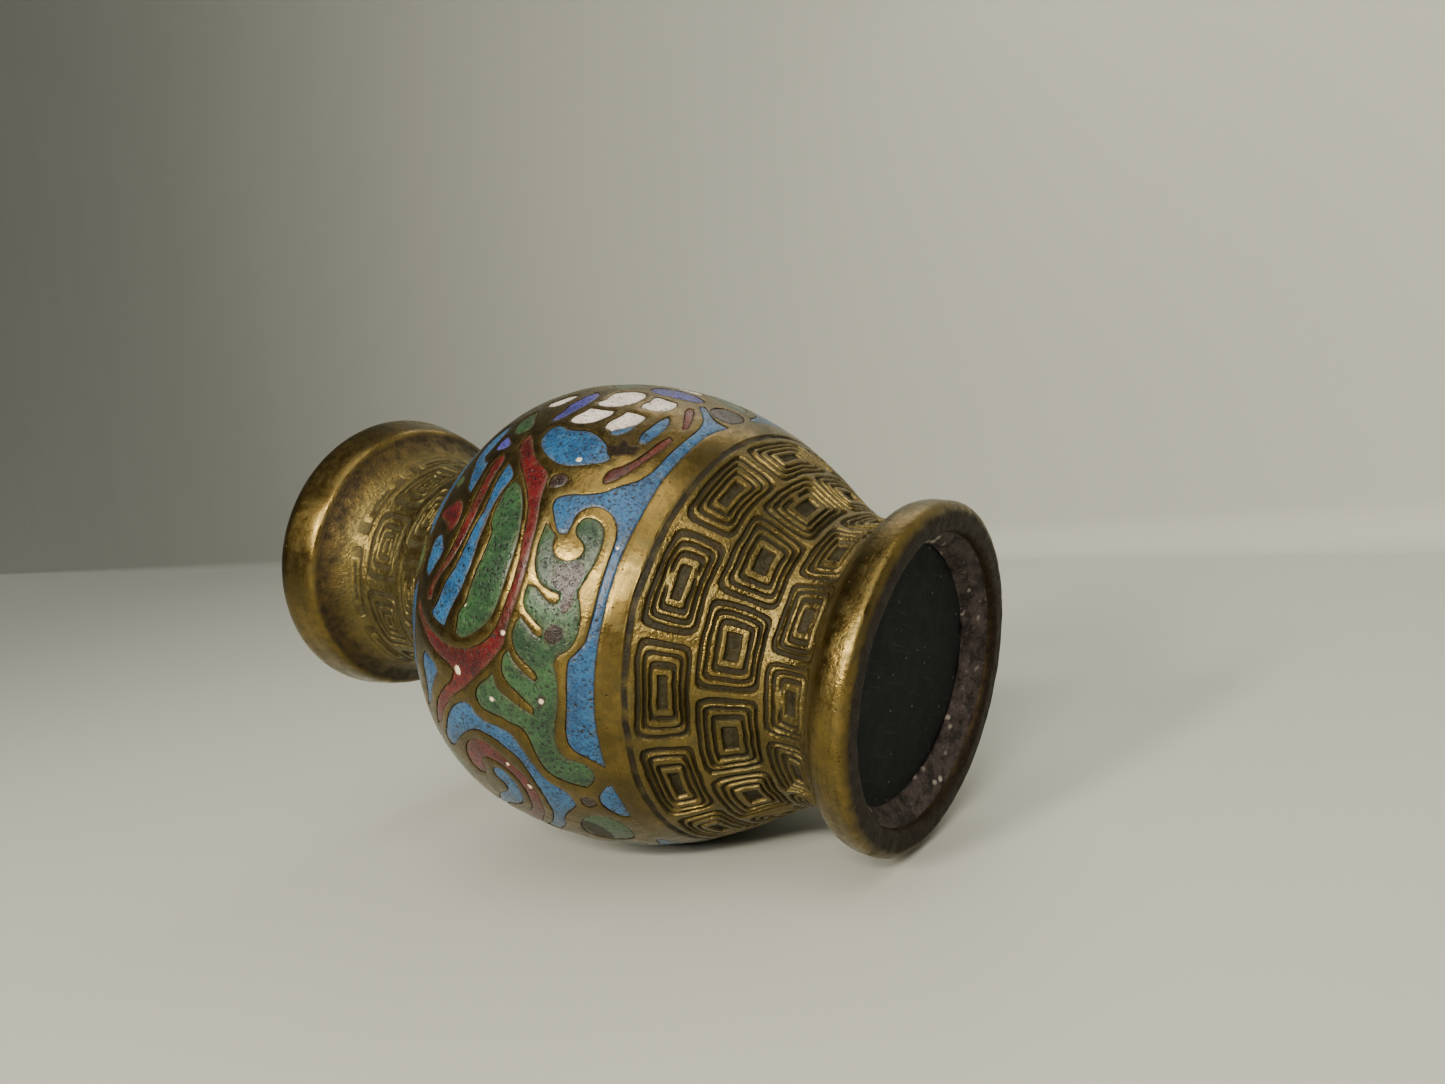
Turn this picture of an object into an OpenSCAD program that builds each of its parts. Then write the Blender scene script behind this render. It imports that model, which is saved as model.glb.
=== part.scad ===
// Small baluster vase in cast bronze with champleve enamel.
// The bronze is one casting. Its belly and shoulder carry sunk cells, and each
// cell is filled with glass enamel level with the metal lines left between them.
// Origin: centre of the resting face of the foot ring. +Z up the axis to the mouth.
// Millimetres.

/* [Overall] */
// Height from the foot to the lip, everything else scales with it
vase_h = 100; // [80:5:150]

/* [Bronze body] */
// Thickness of the metal wall of the belly, measured square to it
wall_t = 2.4; // [2.0:0.1:3.0]
// Radius of the throat, the straight part of the neck's bore
throat_r = 13.6; // [13.0:0.1:14.0]

/* [Enamel] */
// Depth of the enamel cells
enamel_d = 0.6; // [0.4:0.1:0.8]
// Number of ruyi heads around the shoulder
ruyi_n = 8; // [4:1:8]

/* [Foot] */
// Radius of the recess inside the foot ring
recess_r = 18; // [17.6:0.1:18.4]
// Height of the base plate's lower face above the ground
plate_z = 3.2; // [2.6:0.1:3.4]
// Thickness of the base plate
plate_t = 1.2; // [0.8:0.1:1.6]
// Inner radius of the solder and cement fillet, where the plate shows
fillet_r = 14.5; // [13:0.1:16]

/* [Hidden] */
$fn = 96;
eps = 0.01;
ledge_z = plate_z + plate_t;

// Outer profile: [height, radius]. The heights in the enamel zone fall between those of the cells' corners.
prof = [[0, 20.7], [0.4, 21.4], [1.2, 21.75], [3, 21.7], [4.4, 21.3], [5, 20.8], [5.4, 19.9], [6.4, 19],
    [8, 18.6], [10, 18.4], [12, 18.8], [15, 20.2], [18, 22.2], [22, 24.9], [26, 27.1], [28, 28.1],
    [33.95, 30.3], [39.95, 31.65], [45.95, 32.05], [51.95, 31.7], [56.95, 30.4], [60.95, 28.2],
    [64.95, 25.1], [68.95, 21.4],
    [73, 18], [75, 16.9], [78, 16.2], [83, 16], [86, 16.3], [88, 16.8], [90, 17.9], [91.6, 19.3],
    [92.8, 20.5], [93.3, 21.3], [95, 21.9], [97, 22.3], [98.6, 22.6], [99.4, 22.5], [99.85, 22.2],
    [100, 21.6]];
// Outer radius at a height, and how fast it changes there
function R(z) = lookup(z, prof);
function slope(z) = R(z + 0.5) - R(z - 0.5);
// Radius of a surface a depth d inside the outer one, measured square to it
function Rin(z, d) = R(z) - d * sqrt(1 + pow(slope(z), 2));

// Heights at which the cavity's wall follows the outside
cav_z = [10, 12, 15, 18, 22, 26, 30, 34, 40, 46, 52, 57, 61, 65, 69, 73];
// Inner wall of the neck and the flare of the mouth
mouth = [[77, throat_r], [85, throat_r], [88, 14.6], [91, 16.4], [94, 18.2], [97, 19.4], [99, 20], [99.7, 20.5],
    [100, 21.1]];

// Enamel zone of the belly and shoulder
zone_lo = 28.2;
zone_hi = 72.6;
zone_z = [28.2, 33.95, 39.95, 45.95, 51.95, 56.95, 60.95, 64.95, 68.95, 72.6];

// Enamel cells. Each is [middle angle, [[angle, height], ...]]. Angle 0 faces -Y and grows towards +X.
blue_cells = [
    // blue low a
    [-54, [[-61, 28.8], [-58, 28.6], [-53, 28.6], [-48, 28.7], [-48, 29.3], [-50, 30.3], [-52, 31],
        [-55, 31.2], [-58, 30.6], [-60.5, 29.8]]],
    // blue low b
    [-4, [[-42, 28.7], [-30, 28.8], [-20, 28.8], [-8, 28.7], [4, 28.6], [14, 28.6], [24, 28.5], [34, 28.7],
        [34, 30.3], [31, 30.8], [28.5, 31.8], [26.5, 32.8], [24.5, 33.7], [23, 35], [21.8, 36.6], [20.6, 38.2],
        [19.3, 39], [17.5, 38.9], [15.5, 38.2], [13.2, 37.3], [12, 36.6], [12.4, 35.6], [14.5, 35.5],
        [17, 35.5], [19.2, 34.8], [20.4, 33.4], [19.8, 31.8], [18, 30.7], [15, 30], [9, 29.8], [4, 29.8],
        [-1, 29.8], [-6, 29.9], [-10, 30.2], [-12.6, 31], [-14.6, 31.8], [-18, 32], [-23, 32], [-28, 32.2],
        [-32, 32.5], [-35.5, 32.4], [-37.5, 31.8], [-38.7, 30.8], [-40.2, 29.8]]],
    // blue low c
    [50, [[33, 28.7], [44, 28.7], [54, 28.9], [61.5, 28.5], [61.2, 30], [62.4, 31.4], [64, 32.6], [65.8, 33.9],
        [64.6, 34.3], [62.2, 33.2], [60, 32], [57, 31], [53, 30.4], [47, 30.2], [41, 30.2], [36, 30.2],
        [33, 30.4]]],
    // blue left
    [-52, [[-74, 43], [-70, 41], [-66, 39.2], [-63, 38.4], [-60, 37.2], [-57.6, 35.8], [-55.5, 34.8],
        [-51.5, 34.8], [-49.5, 35.5], [-48, 36.5], [-45.5, 37.4], [-42.5, 38], [-39.5, 38.7], [-36.8, 39.4],
        [-34.8, 40.2], [-33.8, 42], [-33.2, 44], [-32, 45.5], [-30.4, 46.2], [-29.9, 47.2], [-31, 48.8],
        [-33.5, 50.6], [-37, 52], [-40, 53], [-43, 54], [-46, 53.8], [-45, 52.4], [-43, 51.4], [-40.6, 50],
        [-38.4, 48.4], [-36.8, 46.8], [-36.6, 45], [-37.6, 43], [-39.4, 41.6], [-41.4, 40.2], [-45, 39.3],
        [-50, 38.9], [-55, 38.9], [-60, 39.5], [-64, 40.7], [-68, 42.4], [-72, 44.6]]],
    // blue swirl
    [-57, [[-74, 55.5], [-70, 53.4], [-66, 51.3], [-62, 49.7], [-59, 48.2], [-56.6, 46.4], [-54.5, 45.2],
        [-52, 45.1], [-50.3, 45.8], [-48.4, 45.9], [-46.8, 45.1], [-46.8, 44.1], [-48.6, 43.2], [-51, 42.8],
        [-54, 42.8], [-57.4, 43.4], [-60.2, 44.6], [-62.2, 46.2], [-64, 48.2], [-66.5, 49.8], [-70, 51.8],
        [-74, 54]]],
    // blue strip
    [5, [[-13.8, 50.8], [-13.3, 52.2], [-12.4, 53.4], [-11.3, 53.7], [-9.8, 53], [-7, 52.3], [-4, 51.7],
        [-1, 50.7], [2, 50.1], [6, 49.7], [10, 49.3], [13, 49], [16, 49], [19, 49.3], [23, 49.4], [26, 49.3],
        [24.6, 48.1], [22.5, 47.1], [20.5, 47.2], [16, 47.7], [11, 47.6], [6, 47.7], [2, 47.7], [-2, 48.1],
        [-5, 48.6], [-8, 49.4], [-11, 50.2]]],
    // blue up a
    [-29, [[-37, 57.2], [-34, 56.4], [-31, 56], [-27, 56.1], [-23, 56], [-21.4, 55.2], [-22.4, 53.8],
        [-23.6, 52.6], [-25, 52.2], [-27.2, 53.1], [-30, 54.2], [-33.5, 55.2], [-36, 56.2]]],
    // blue up b
    [1, [[-4, 56.4], [-2.6, 57.2], [1, 57.3], [4.4, 57.1], [6.2, 56.4], [6.2, 55.5], [4.4, 54.6], [3.2, 53.9],
        [1.2, 54.2], [-1, 55], [-3, 55.6]]],
    // blue up c
    [28, [[17, 53.1], [18.2, 54.2], [21, 55.1], [24, 56], [27, 57], [32, 57.5], [37, 57], [40, 56], [37, 55.2],
        [31, 55], [27.6, 55.2], [26.4, 54.3], [25.8, 53.3], [21, 53]]],
    // blue field
    [34, [[28, 40], [28.1, 42], [29, 43.6], [30.4, 45], [32, 46.2], [34.5, 47.1], [37.5, 47.1], [39.4, 46.4],
        [39, 45], [38.6, 43.8], [39.1, 42.2], [39.2, 41], [38.4, 39.6], [37.4, 38.3], [36.4, 37.4],
        [34.6, 36.6], [33.2, 35.7], [31.8, 36], [30.2, 37.2], [29, 38.4]]],
    // blue cres
    [47, [[40.6, 34.4], [43, 34.9], [47, 34.9], [51, 34.9], [53.4, 34.7], [52, 34], [49.5, 33.4], [46, 33.2],
        [42.5, 33.3], [40.6, 33.6]]],
    // blue petal
    [43, [[40, 38.3], [41, 38.6], [42.4, 37.9], [44, 37.2], [46.4, 36.5], [44, 36.4], [41.6, 36.8],
        [40.2, 37.4]]],
    // blue low d
    [88, [[74, 28.8], [84, 28.7], [94, 28.7], [102, 28.8], [102, 29.8], [98, 30.6], [94.4, 31.6], [91.4, 33.4],
        [88.6, 34.8], [86, 34], [83.6, 32.2], [80, 30.8], [76.4, 30.1], [74, 29.7]]],
    // blue up d
    [80, [[58, 54.6], [62, 53.2], [66, 52.8], [70, 53.3], [75, 53.9], [80, 54.3], [86, 54.7], [92, 54],
        [96, 53.3], [100, 54.4], [103, 56.6], [98, 57.6], [90.6, 57.9], [80, 57.9], [70, 57.4], [62, 56.9],
        [58, 56.1]]],
];
red_cells = [
    // red main
    [-3, [[-10, 57.8], [-12.6, 56.4], [-14.8, 54.6], [-16.2, 52.6], [-17.3, 50.6], [-17.7, 48.6], [-17.4, 47],
        [-16.5, 45.4], [-15.2, 44], [-13.4, 42.8], [-11.4, 42], [-8, 41.3], [-4, 40.8], [0, 40.5], [4.5, 40.6],
        [9, 41.1], [13.5, 41.7], [17, 42.6], [20, 43.8], [23, 45.4], [26, 47.2], [29, 48.8], [31.6, 49.8],
        [35.6, 50], [34, 48.6], [31.6, 47.4], [29.2, 46], [27.4, 44.6], [26, 43], [24.4, 41.9], [22, 41.5],
        [18.5, 41], [14, 40.1], [9, 39.5], [4, 39.2], [-1, 39.2], [-5, 39.5], [-8.5, 39.9], [-11.6, 40.2],
        [-14, 40.4], [-16.5, 41.3], [-19, 42.5], [-22, 44.2], [-24.6, 45.8], [-27, 47.4], [-29, 49],
        [-31.6, 50.6], [-35, 52.3], [-38.6, 53.6], [-41, 55.4], [-38, 54.9], [-34.4, 53.9], [-31, 52.6],
        [-28, 51], [-25.6, 49.4], [-23.2, 48.9], [-22.1, 49.8], [-21.4, 51.2], [-20.2, 52.6], [-18.8, 54],
        [-17, 55.4], [-14.6, 56.8], [-12, 58.2]]],
    // red swirl
    [-57, [[-78, 49.6], [-74, 46.8], [-70, 44.8], [-66, 43], [-62, 41.4], [-57.5, 40.3], [-53, 39.7],
        [-49, 39.9], [-46, 40.7], [-43.3, 42], [-40.8, 43.5], [-39.4, 45], [-39.3, 46.6], [-40.6, 48.3],
        [-43, 49.6], [-46, 50.3], [-49.4, 50.3], [-51.4, 49.4], [-51, 48.2], [-48.5, 47.4], [-45.8, 47.1],
        [-44.4, 46.2], [-44.6, 44.5], [-46.2, 43], [-48.6, 42], [-52, 41.6], [-56.4, 42], [-60, 42.9],
        [-63, 44.2], [-66, 46.4], [-70, 48.6], [-74, 50.6], [-78, 52.2]]],
    // red up
    [10, [[-9.4, 55.5], [-6.6, 55.2], [-4, 54.6], [-1.6, 53.7], [1, 52.7], [4, 52.1], [8, 51.8], [13, 51.6],
        [18, 51.7], [23, 52], [26.4, 52.1], [28.6, 51.5], [27, 50.6], [22, 50.4], [17, 50.2], [12, 50.1],
        [7, 50.4], [3, 51], [0, 51.8], [-2.6, 52.9], [-5.4, 53.8], [-9, 54.3]]],
    // red drop
    [11, [[7, 54.1], [8.6, 55.2], [9.6, 56.6], [10.6, 58.2], [12, 58.2], [14, 56.8], [15.2, 55.4], [14.8, 54],
        [13, 53.1], [10, 52.9], [8, 53.3]]],
    // red cres a
    [36, [[26.2, 34.5], [27.6, 34.9], [30, 34.8], [32.4, 33.8], [35, 33], [38.6, 32.5], [42.6, 32.3],
        [46.4, 31.9], [45.6, 31.2], [42, 31.2], [38, 31.6], [34.5, 32], [31, 32.6], [28.2, 33.4]]],
    // red cres b
    [55, [[50.6, 31.7], [53, 32.4], [55.8, 33.3], [58.4, 34.2], [60.6, 34.6], [61.6, 34.1], [59.6, 33.2],
        [57, 32.4], [54, 31.7], [51.8, 31.3]]],
    // red side
    [88, [[74.4, 46.4], [77, 48.2], [80.4, 49.6], [84.4, 50], [88.4, 49.2], [91.6, 47.4], [94, 45.4],
        [97, 43.6], [100.4, 42.4], [101.4, 43.8], [98.8, 45.2], [96.2, 47.2], [93.4, 49.6], [89.6, 51.6],
        [84.8, 52.4], [80, 51.8], [76.2, 50.4], [73.6, 48.4]]],
];
green_cells = [
    // green main
    [-18, [[-48.6, 31.8], [-48, 33], [-46.8, 34.4], [-45.4, 35.7], [-43, 36.6], [-40, 37.1], [-36.6, 37.4],
        [-34, 37.8], [-32.4, 38.6], [-32, 39.8], [-31.2, 41.2], [-30.7, 42.8], [-29.8, 44.3], [-28.2, 45],
        [-26, 44.9], [-24, 44], [-22.4, 42.8], [-20.8, 42], [-22.6, 41.7], [-24.4, 41.2], [-25.6, 40.1],
        [-27, 38.6], [-28.2, 37.2], [-28.8, 36.4], [-27.2, 36.4], [-25.6, 37.4], [-24, 38.4], [-22.8, 39.4],
        [-21.2, 40.3], [-18.6, 40.6], [-16.2, 40.3], [-15, 39.7], [-16.8, 39], [-18.6, 37.9], [-20, 36.8],
        [-20.8, 36], [-20, 35.6], [-18.8, 36], [-17.4, 37.1], [-15.8, 38.2], [-13.8, 39], [-11.4, 39.3],
        [-8.8, 39], [-7.2, 38.5], [-8.6, 37.6], [-10, 36.6], [-10.9, 35.8], [-10.2, 35.2], [-9, 35.5],
        [-7.8, 36.5], [-6.4, 37.5], [-5, 38.3], [-2.6, 38.5], [-0.4, 38.3], [-0.4, 37.3], [-1.6, 36.4],
        [-2.7, 35.5], [-3, 34.5], [-2, 34], [-0.9, 34.3], [-0.5, 35.4], [0.4, 36.7], [2, 37.6], [4.4, 38.2],
        [8, 38.6], [13.6, 38.7], [12.4, 37.8], [11.6, 37], [10.2, 36.9], [8.4, 36.6], [7, 35.9], [6.5, 34.9],
        [7, 33.8], [8.2, 33.1], [9.8, 32.9], [11.2, 33.3], [12.2, 34.1], [13.4, 34.7], [15.4, 34.8],
        [17, 34.4], [17.5, 33.3], [16.8, 32.1], [15, 31.4], [12, 31.1], [8, 31.1], [4.6, 31.5], [2, 31.9],
        [0, 32], [-1.6, 31.6], [-4, 31.2], [-7.5, 31.1], [-10.5, 31.4], [-12.6, 32.1], [-14.2, 33.1],
        [-15.8, 33.6], [-18.5, 33.2], [-22, 33], [-26, 33.1], [-30, 33.6], [-34, 34], [-37, 33.9],
        [-39.3, 33.3], [-40.2, 32], [-41.2, 30.9], [-43.4, 30.4], [-46, 30.6]]],
    // green leaf
    [3, [[-15.2, 47.6], [-14.6, 48.6], [-12.6, 48.4], [-9.8, 48.3], [-7.6, 47.4], [-4, 47], [0, 46.6],
        [4, 46.2], [9, 46.1], [11, 46.8], [15, 47.1], [19.6, 47], [21.6, 46.3], [20.4, 45], [18, 43.8],
        [14.6, 42.7], [11, 42], [7, 41.6], [1, 41.6], [-4, 41.9], [-7.6, 42.4], [-10.4, 43.3], [-12.6, 44.7],
        [-14.4, 46.2]]],
    // green oval
    [-68, [[-76, 34], [-75, 36], [-72.6, 37.2], [-69, 37.4], [-65, 36.6], [-61.6, 35.2], [-60, 33.6],
        [-60.6, 32], [-63, 30.9], [-67, 30.5], [-71.4, 30.8], [-74.8, 32]]],
    // green tip
    [20.5, [[18.6, 57.2], [19.6, 58.4], [21.2, 58.9], [22.8, 58.3], [22.4, 57.3], [20.6, 56.6]]],
    // green back
    [39, [[35, 52], [36.6, 53.4], [39.6, 54.2], [43, 54], [44.6, 53], [42, 52.2], [39.4, 51], [37, 50.8]]],
    // green side
    [88, [[76, 31.4], [79, 31.9], [82, 33.2], [84, 34.9], [86.5, 36.4], [89.5, 36.6], [92.5, 35.2], [95, 33.4],
        [98, 32.3], [101, 32.2], [102, 34], [101.6, 36.4], [99.6, 38.6], [96.6, 40.4], [93.4, 41.2],
        [90.6, 42.6], [88.6, 44.8], [86.4, 46.6], [83.6, 46.6], [81.6, 44.8], [80.6, 42.2], [79, 39.4],
        [76.8, 37], [75, 34.6], [74.8, 32.6]]],
    // green knob
    [67, [[62.6, 47.5], [65, 49.4], [68, 50.2], [71, 49.6], [71.6, 47.6], [70, 45.8], [67, 45.1],
        [64, 45.7]]],
    // green far
    [-55, [[-60, 54.6], [-58, 53.2], [-55, 52.6], [-52.4, 53.4], [-49.6, 54.6], [-48, 56], [-50, 57.3],
        [-54, 57.2], [-58, 56.2]]],
];
// Patches set inside a green cell, with no metal between
inset_aubergine_cells = [
    // aub a
    [-18, [[-11.8, 34.2], [-11.1, 35], [-9.9, 35.1], [-8.4, 34.7], [-7.4, 33.9], [-8, 33.1], [-9.4, 32.8],
        [-10.9, 33.2]]],
    // aub b
    [-18, [[-5, 33.4], [-3.6, 33.7], [-2.4, 33.7], [-0.4, 33.6], [0.3, 34.6], [1.4, 35.3], [3.4, 35.5],
        [5.6, 35.2], [6.2, 34.2], [7.4, 32.9], [6.6, 32.3], [4.6, 32], [2.2, 32.2], [0, 32.4], [-2.4, 32.4],
        [-4, 32.7]]],
];
lone_aubergine_cells = [
    // aub c
    [24, [[21.6, 40.8], [22.8, 41.2], [24.4, 41.2], [25.6, 40.6], [25.6, 39.6], [24.8, 38.9], [23, 39],
        [22, 39.8]]],
    // aub d
    [-54, [[-56.2, 33.1], [-55, 33.7], [-52.8, 33.6], [-51.8, 32.6], [-53, 31.8], [-55.2, 31.8]]],
    // aub oval
    [67, [[62.6, 30.4], [63.4, 31.8], [65.4, 32.9], [68, 33.2], [70.8, 32.8], [72.4, 31.4], [72, 30],
        [69.6, 29.1], [66, 28.9], [63.6, 29.3]]],
    // aub side
    [95, [[92.4, 38], [93.8, 39], [95.8, 38.6], [97.4, 37.2], [97, 36], [95.4, 35.8], [93.6, 36.6]]],
];
white_cells = [
    // white a
    [45, [[41, 44.4], [41.5, 45.4], [43, 45.7], [44.8, 45.4], [46.4, 45.1], [47.8, 45], [48, 43.8],
        [48.2, 42.4], [48.6, 41.3], [47, 40.9], [45, 41.2], [43, 41.8], [41.6, 42.8]]],
    // white b
    [55, [[49.8, 44.3], [51, 45.3], [53.2, 44.9], [55.4, 45.3], [57.6, 45.4], [59.4, 44.6], [61.4, 43.2],
        [61.6, 42.1], [59.4, 40.9], [56, 40.4], [53, 40.7], [51, 41.5], [49.9, 42.8]]],
    // white c
    [43, [[41, 38.6], [41.6, 39.8], [43.6, 40.1], [46.4, 39.7], [49.6, 39.6], [49.8, 38.2], [49.8, 36.6],
        [46.4, 36.5], [44, 37.2], [42.4, 37.9]]],
    // white d
    [57, [[52.7, 38.7], [54.2, 39.3], [57, 39.2], [59.4, 39.7], [60.8, 39.3], [60.7, 37.8], [61, 36.4],
        [58.8, 35.7], [55.4, 35.8], [53.4, 36.7]]],
    // white e
    [51, [[47.2, 52.4], [49, 53.1], [51, 52.2], [53.6, 51.6], [55, 50.6], [53, 50.2], [50, 50.4],
        [47.8, 51]]],
    // white side
    [75, [[72.8, 38.2], [73.4, 40.6], [75.2, 42.6], [77.4, 43.4], [78.8, 42.6], [78, 40.6], [76.2, 38.6],
        [74.4, 37.4]]],
];
cobalt_cells = [
    // cob a
    [32, [[29.4, 53.6], [31.4, 54], [34.6, 53.7], [33.4, 52.7], [32, 51.7], [30.6, 51.8], [29.7, 52.7]]],
    // cob b
    [49, [[40.4, 48.4], [42.4, 48.6], [45, 48.5], [48.4, 48.9], [52, 48.8], [56, 48.9], [57.6, 48.4],
        [56, 47.3], [53, 46.5], [49.6, 46.3], [45.6, 46.6], [42, 47.3]]],
    // cob c
    [67, [[63, 39.4], [63.6, 41.2], [65.4, 42.8], [67.8, 43.2], [70.2, 42.2], [71.2, 39.8], [70.8, 37],
        [69.2, 35.2], [66.8, 35.4], [64.8, 36.8]]],
    // cob side
    [100, [[97, 49.8], [99.6, 51.4], [102.4, 51.8], [103.8, 50.2], [103, 48], [101, 46.6], [98.8, 46.8],
        [97.2, 48.2]]],
];

// Cells of one ruyi head on the shoulder, about its own middle, and of the ground between two heads
ruyi = [[-2, 60.2], [0, 59.6], [2, 60.2], [4.6, 61.6], [7.6, 63.2], [9.4, 65.4], [9.2, 67.8], [6.4, 69.4], [0, 70.2],
    [-6.4, 69.4], [-9.2, 67.8], [-9.4, 65.4], [-7.6, 63.2], [-4.6, 61.6]];
between = [[-18, 59.8], [-9, 59.4], [0, 59.2], [9, 59.4], [18, 59.8], [14, 62], [11.4, 64.8], [11, 67.6], [9.6, 70.2],
    [0, 71.6], [-9.6, 70.2], [-11, 67.6], [-11.4, 64.8], [-14, 62]];
drop_gap = [[0, 61.2], [3.6, 62.6], [5, 64.8], [3.8, 67], [0, 68.2], [-3.8, 67], [-5, 64.8], [-3.6, 62.6]];
drop = [[0, 62.4], [2, 63.4], [2.8, 64.9], [2.2, 66.2], [0, 67], [-2.2, 66.2], [-2.8, 64.9], [-2, 63.4]];

// A prism along the middle angle, whose outline lands on the given angles and heights of the outer surface
module prism(c, pts) {
    rotate([0, 0, c]) translate([0, -7, 0]) rotate([90, 0, 0])
        linear_extrude(height = 28) polygon([for (p = pts) [R(p[1]) * sin(p[0] - c), p[1]]]);
}

// One colour's cells on both halves of the belly: the design comes twice round
module cells(list) {
    for (k = [0, 180]) rotate([0, 0, k]) for (q = list) prism(q[0], q[1]);
}

// Cells of the shoulder, every step-th head from the first
module heads(first, step) {
    for (k = [first : step : ruyi_n - 1]) rotate([0, 0, 360 * k / ruyi_n]) prism(0, ruyi);
}

module drops() {
    for (k = [0 : ruyi_n - 1]) rotate([0, 0, 360 * (k + 0.5) / ruyi_n]) prism(0, drop);
}

module gaps() {
    for (k = [0 : ruyi_n - 1]) rotate([0, 0, 360 * (k + 0.5) / ruyi_n]) difference() {
        prism(0, between);
        prism(0, drop_gap);
    }
}

module all_cells() {
    cells(blue_cells);
    cells(green_cells);
    cells(red_cells);
    cells(white_cells);
    cells(cobalt_cells);
    cells(lone_aubergine_cells);
    heads(0, 1);
    drops();
    gaps();
}

// Everything inside the floor of the cells
module core() {
    rotate_extrude() polygon(concat([[0, zone_lo - 1], [Rin(zone_lo - 1, enamel_d), zone_lo - 1]],
        [for (z = zone_z) [Rin(z, enamel_d), z]], [[Rin(zone_hi + 1, enamel_d), zone_hi + 1], [0, zone_hi + 1]]));
}

// The layer that the enamel occupies
module skin() {
    difference() {
        rotate_extrude() polygon(concat([[0, zone_lo]], [for (z = zone_z) [R(z), z]], [[0, zone_hi]]));
        core();
    }
}

module solid_vase() {
    rotate_extrude() polygon(concat([[0, 0]], [for (p = prof) [p[1], p[0]]], [[0, 100]]));
}

module hollow() {
    rotate_extrude() polygon(concat([[0, ledge_z], [Rin(10, wall_t), ledge_z]], [for (z = cav_z) [Rin(z, wall_t), z]],
        [for (p = mouth) [p[1], p[0]]], [[21.1, 101], [0, 101]]));
    translate([0, 0, -1]) cylinder(h = ledge_z + 1, r = recess_r);
}

module unit() { scale(vase_h / 100) children(); }

module bronze_body() {
    color("goldenrod") unit() difference() {
        solid_vase();
        hollow();
        difference() {
            all_cells();
            core();
        }
    }
}

module base_plate() {
    color("dimgray") unit() translate([0, 0, plate_z]) cylinder(h = plate_t, r = recess_r - 0.2);
}

// Solder and cement run in between the plate's edge and the foot ring
module base_fillet() {
    color("rosybrown") unit() difference() {
        rotate_extrude() polygon([[fillet_r, plate_z], [fillet_r + 0.6, 2.5], [fillet_r + 1.8, 1.6], [recess_r - 0.6, 1.1],
            [recess_r, 0.9], [recess_r, ledge_z], [recess_r - 1, ledge_z], [recess_r - 1, plate_z]]);
        base_plate_space();
    }
}
module base_plate_space() { translate([0, 0, plate_z]) cylinder(h = plate_t + 1, r = recess_r - 0.2); }

module enamel_sky_blue() {
    color("steelblue") unit() intersection() {
        skin();
        union() { cells(blue_cells); gaps(); }
    }
}

module enamel_green() {
    color("seagreen") unit() intersection() {
        skin();
        union() {
            difference() {
                cells(green_cells);
                cells(inset_aubergine_cells);
            }
            heads(0, 2);
        }
    }
}

module enamel_oxblood() {
    color("darkred") unit() intersection() {
        skin();
        union() { cells(red_cells); heads(1, 2); }
    }
}

module enamel_white() {
    color("ivory") unit() intersection() { skin(); union() { cells(white_cells); drops(); } }
}

module enamel_cobalt() {
    color("slateblue") unit() intersection() { skin(); cells(cobalt_cells); }
}

module enamel_aubergine() {
    color("indigo") unit() intersection() {
        skin();
        union() { cells(inset_aubergine_cells); cells(lone_aubergine_cells); }
    }
}

bronze_body();
base_plate();
base_fillet();
enamel_sky_blue();
enamel_green();
enamel_oxblood();
enamel_white();
enamel_cobalt();
enamel_aubergine();
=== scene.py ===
import math

import bpy
import numpy as np
from mathutils import Matrix, Vector, kdtree
from mathutils.geometry import delaunay_2d_cdt


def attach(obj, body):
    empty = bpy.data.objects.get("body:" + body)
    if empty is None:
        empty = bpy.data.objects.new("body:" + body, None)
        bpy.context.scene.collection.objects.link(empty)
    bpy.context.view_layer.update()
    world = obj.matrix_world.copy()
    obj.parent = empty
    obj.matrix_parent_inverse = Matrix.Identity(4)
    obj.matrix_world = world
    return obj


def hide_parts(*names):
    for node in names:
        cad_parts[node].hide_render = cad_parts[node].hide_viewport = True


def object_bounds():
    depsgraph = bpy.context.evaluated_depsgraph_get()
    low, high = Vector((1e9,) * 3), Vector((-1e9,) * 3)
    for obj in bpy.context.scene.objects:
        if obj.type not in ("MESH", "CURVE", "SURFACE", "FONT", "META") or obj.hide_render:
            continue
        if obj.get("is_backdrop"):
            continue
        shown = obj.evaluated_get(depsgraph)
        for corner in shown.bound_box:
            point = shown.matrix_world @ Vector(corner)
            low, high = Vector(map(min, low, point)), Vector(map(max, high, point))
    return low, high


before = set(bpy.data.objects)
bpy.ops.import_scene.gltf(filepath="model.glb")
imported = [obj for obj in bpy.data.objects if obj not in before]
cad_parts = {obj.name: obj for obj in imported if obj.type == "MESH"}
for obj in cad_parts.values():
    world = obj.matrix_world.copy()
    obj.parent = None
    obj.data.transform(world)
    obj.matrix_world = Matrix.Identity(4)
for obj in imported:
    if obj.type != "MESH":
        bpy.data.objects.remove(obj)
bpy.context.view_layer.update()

MM = 0.001

# ---------------------------------------------------------------- numbers
# Outer profile of the vase, [height, radius] in mm, as in the CAD
PROF = [[0, 20.7], [0.4, 21.4], [1.2, 21.75], [3, 21.7], [4.4, 21.3], [5, 20.8], [5.4, 19.9], [6.4, 19], [8, 18.6],
        [10, 18.4], [12, 18.8], [15, 20.2], [18, 22.2], [22, 24.9], [26, 27.1], [28, 28.1], [33.95, 30.3],
        [39.95, 31.65], [45.95, 32.05], [51.95, 31.7], [56.95, 30.4], [60.95, 28.2], [64.95, 25.1], [68.95, 21.4],
        [73, 18], [75, 16.9], [78, 16.2], [83, 16], [86, 16.3], [88, 16.8], [90, 17.9], [91.6, 19.3], [92.8, 20.5],
        [93.3, 21.3], [95, 21.9], [97, 22.3], [98.6, 22.6], [99.4, 22.5], [99.85, 22.2], [100, 21.6]]
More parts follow.
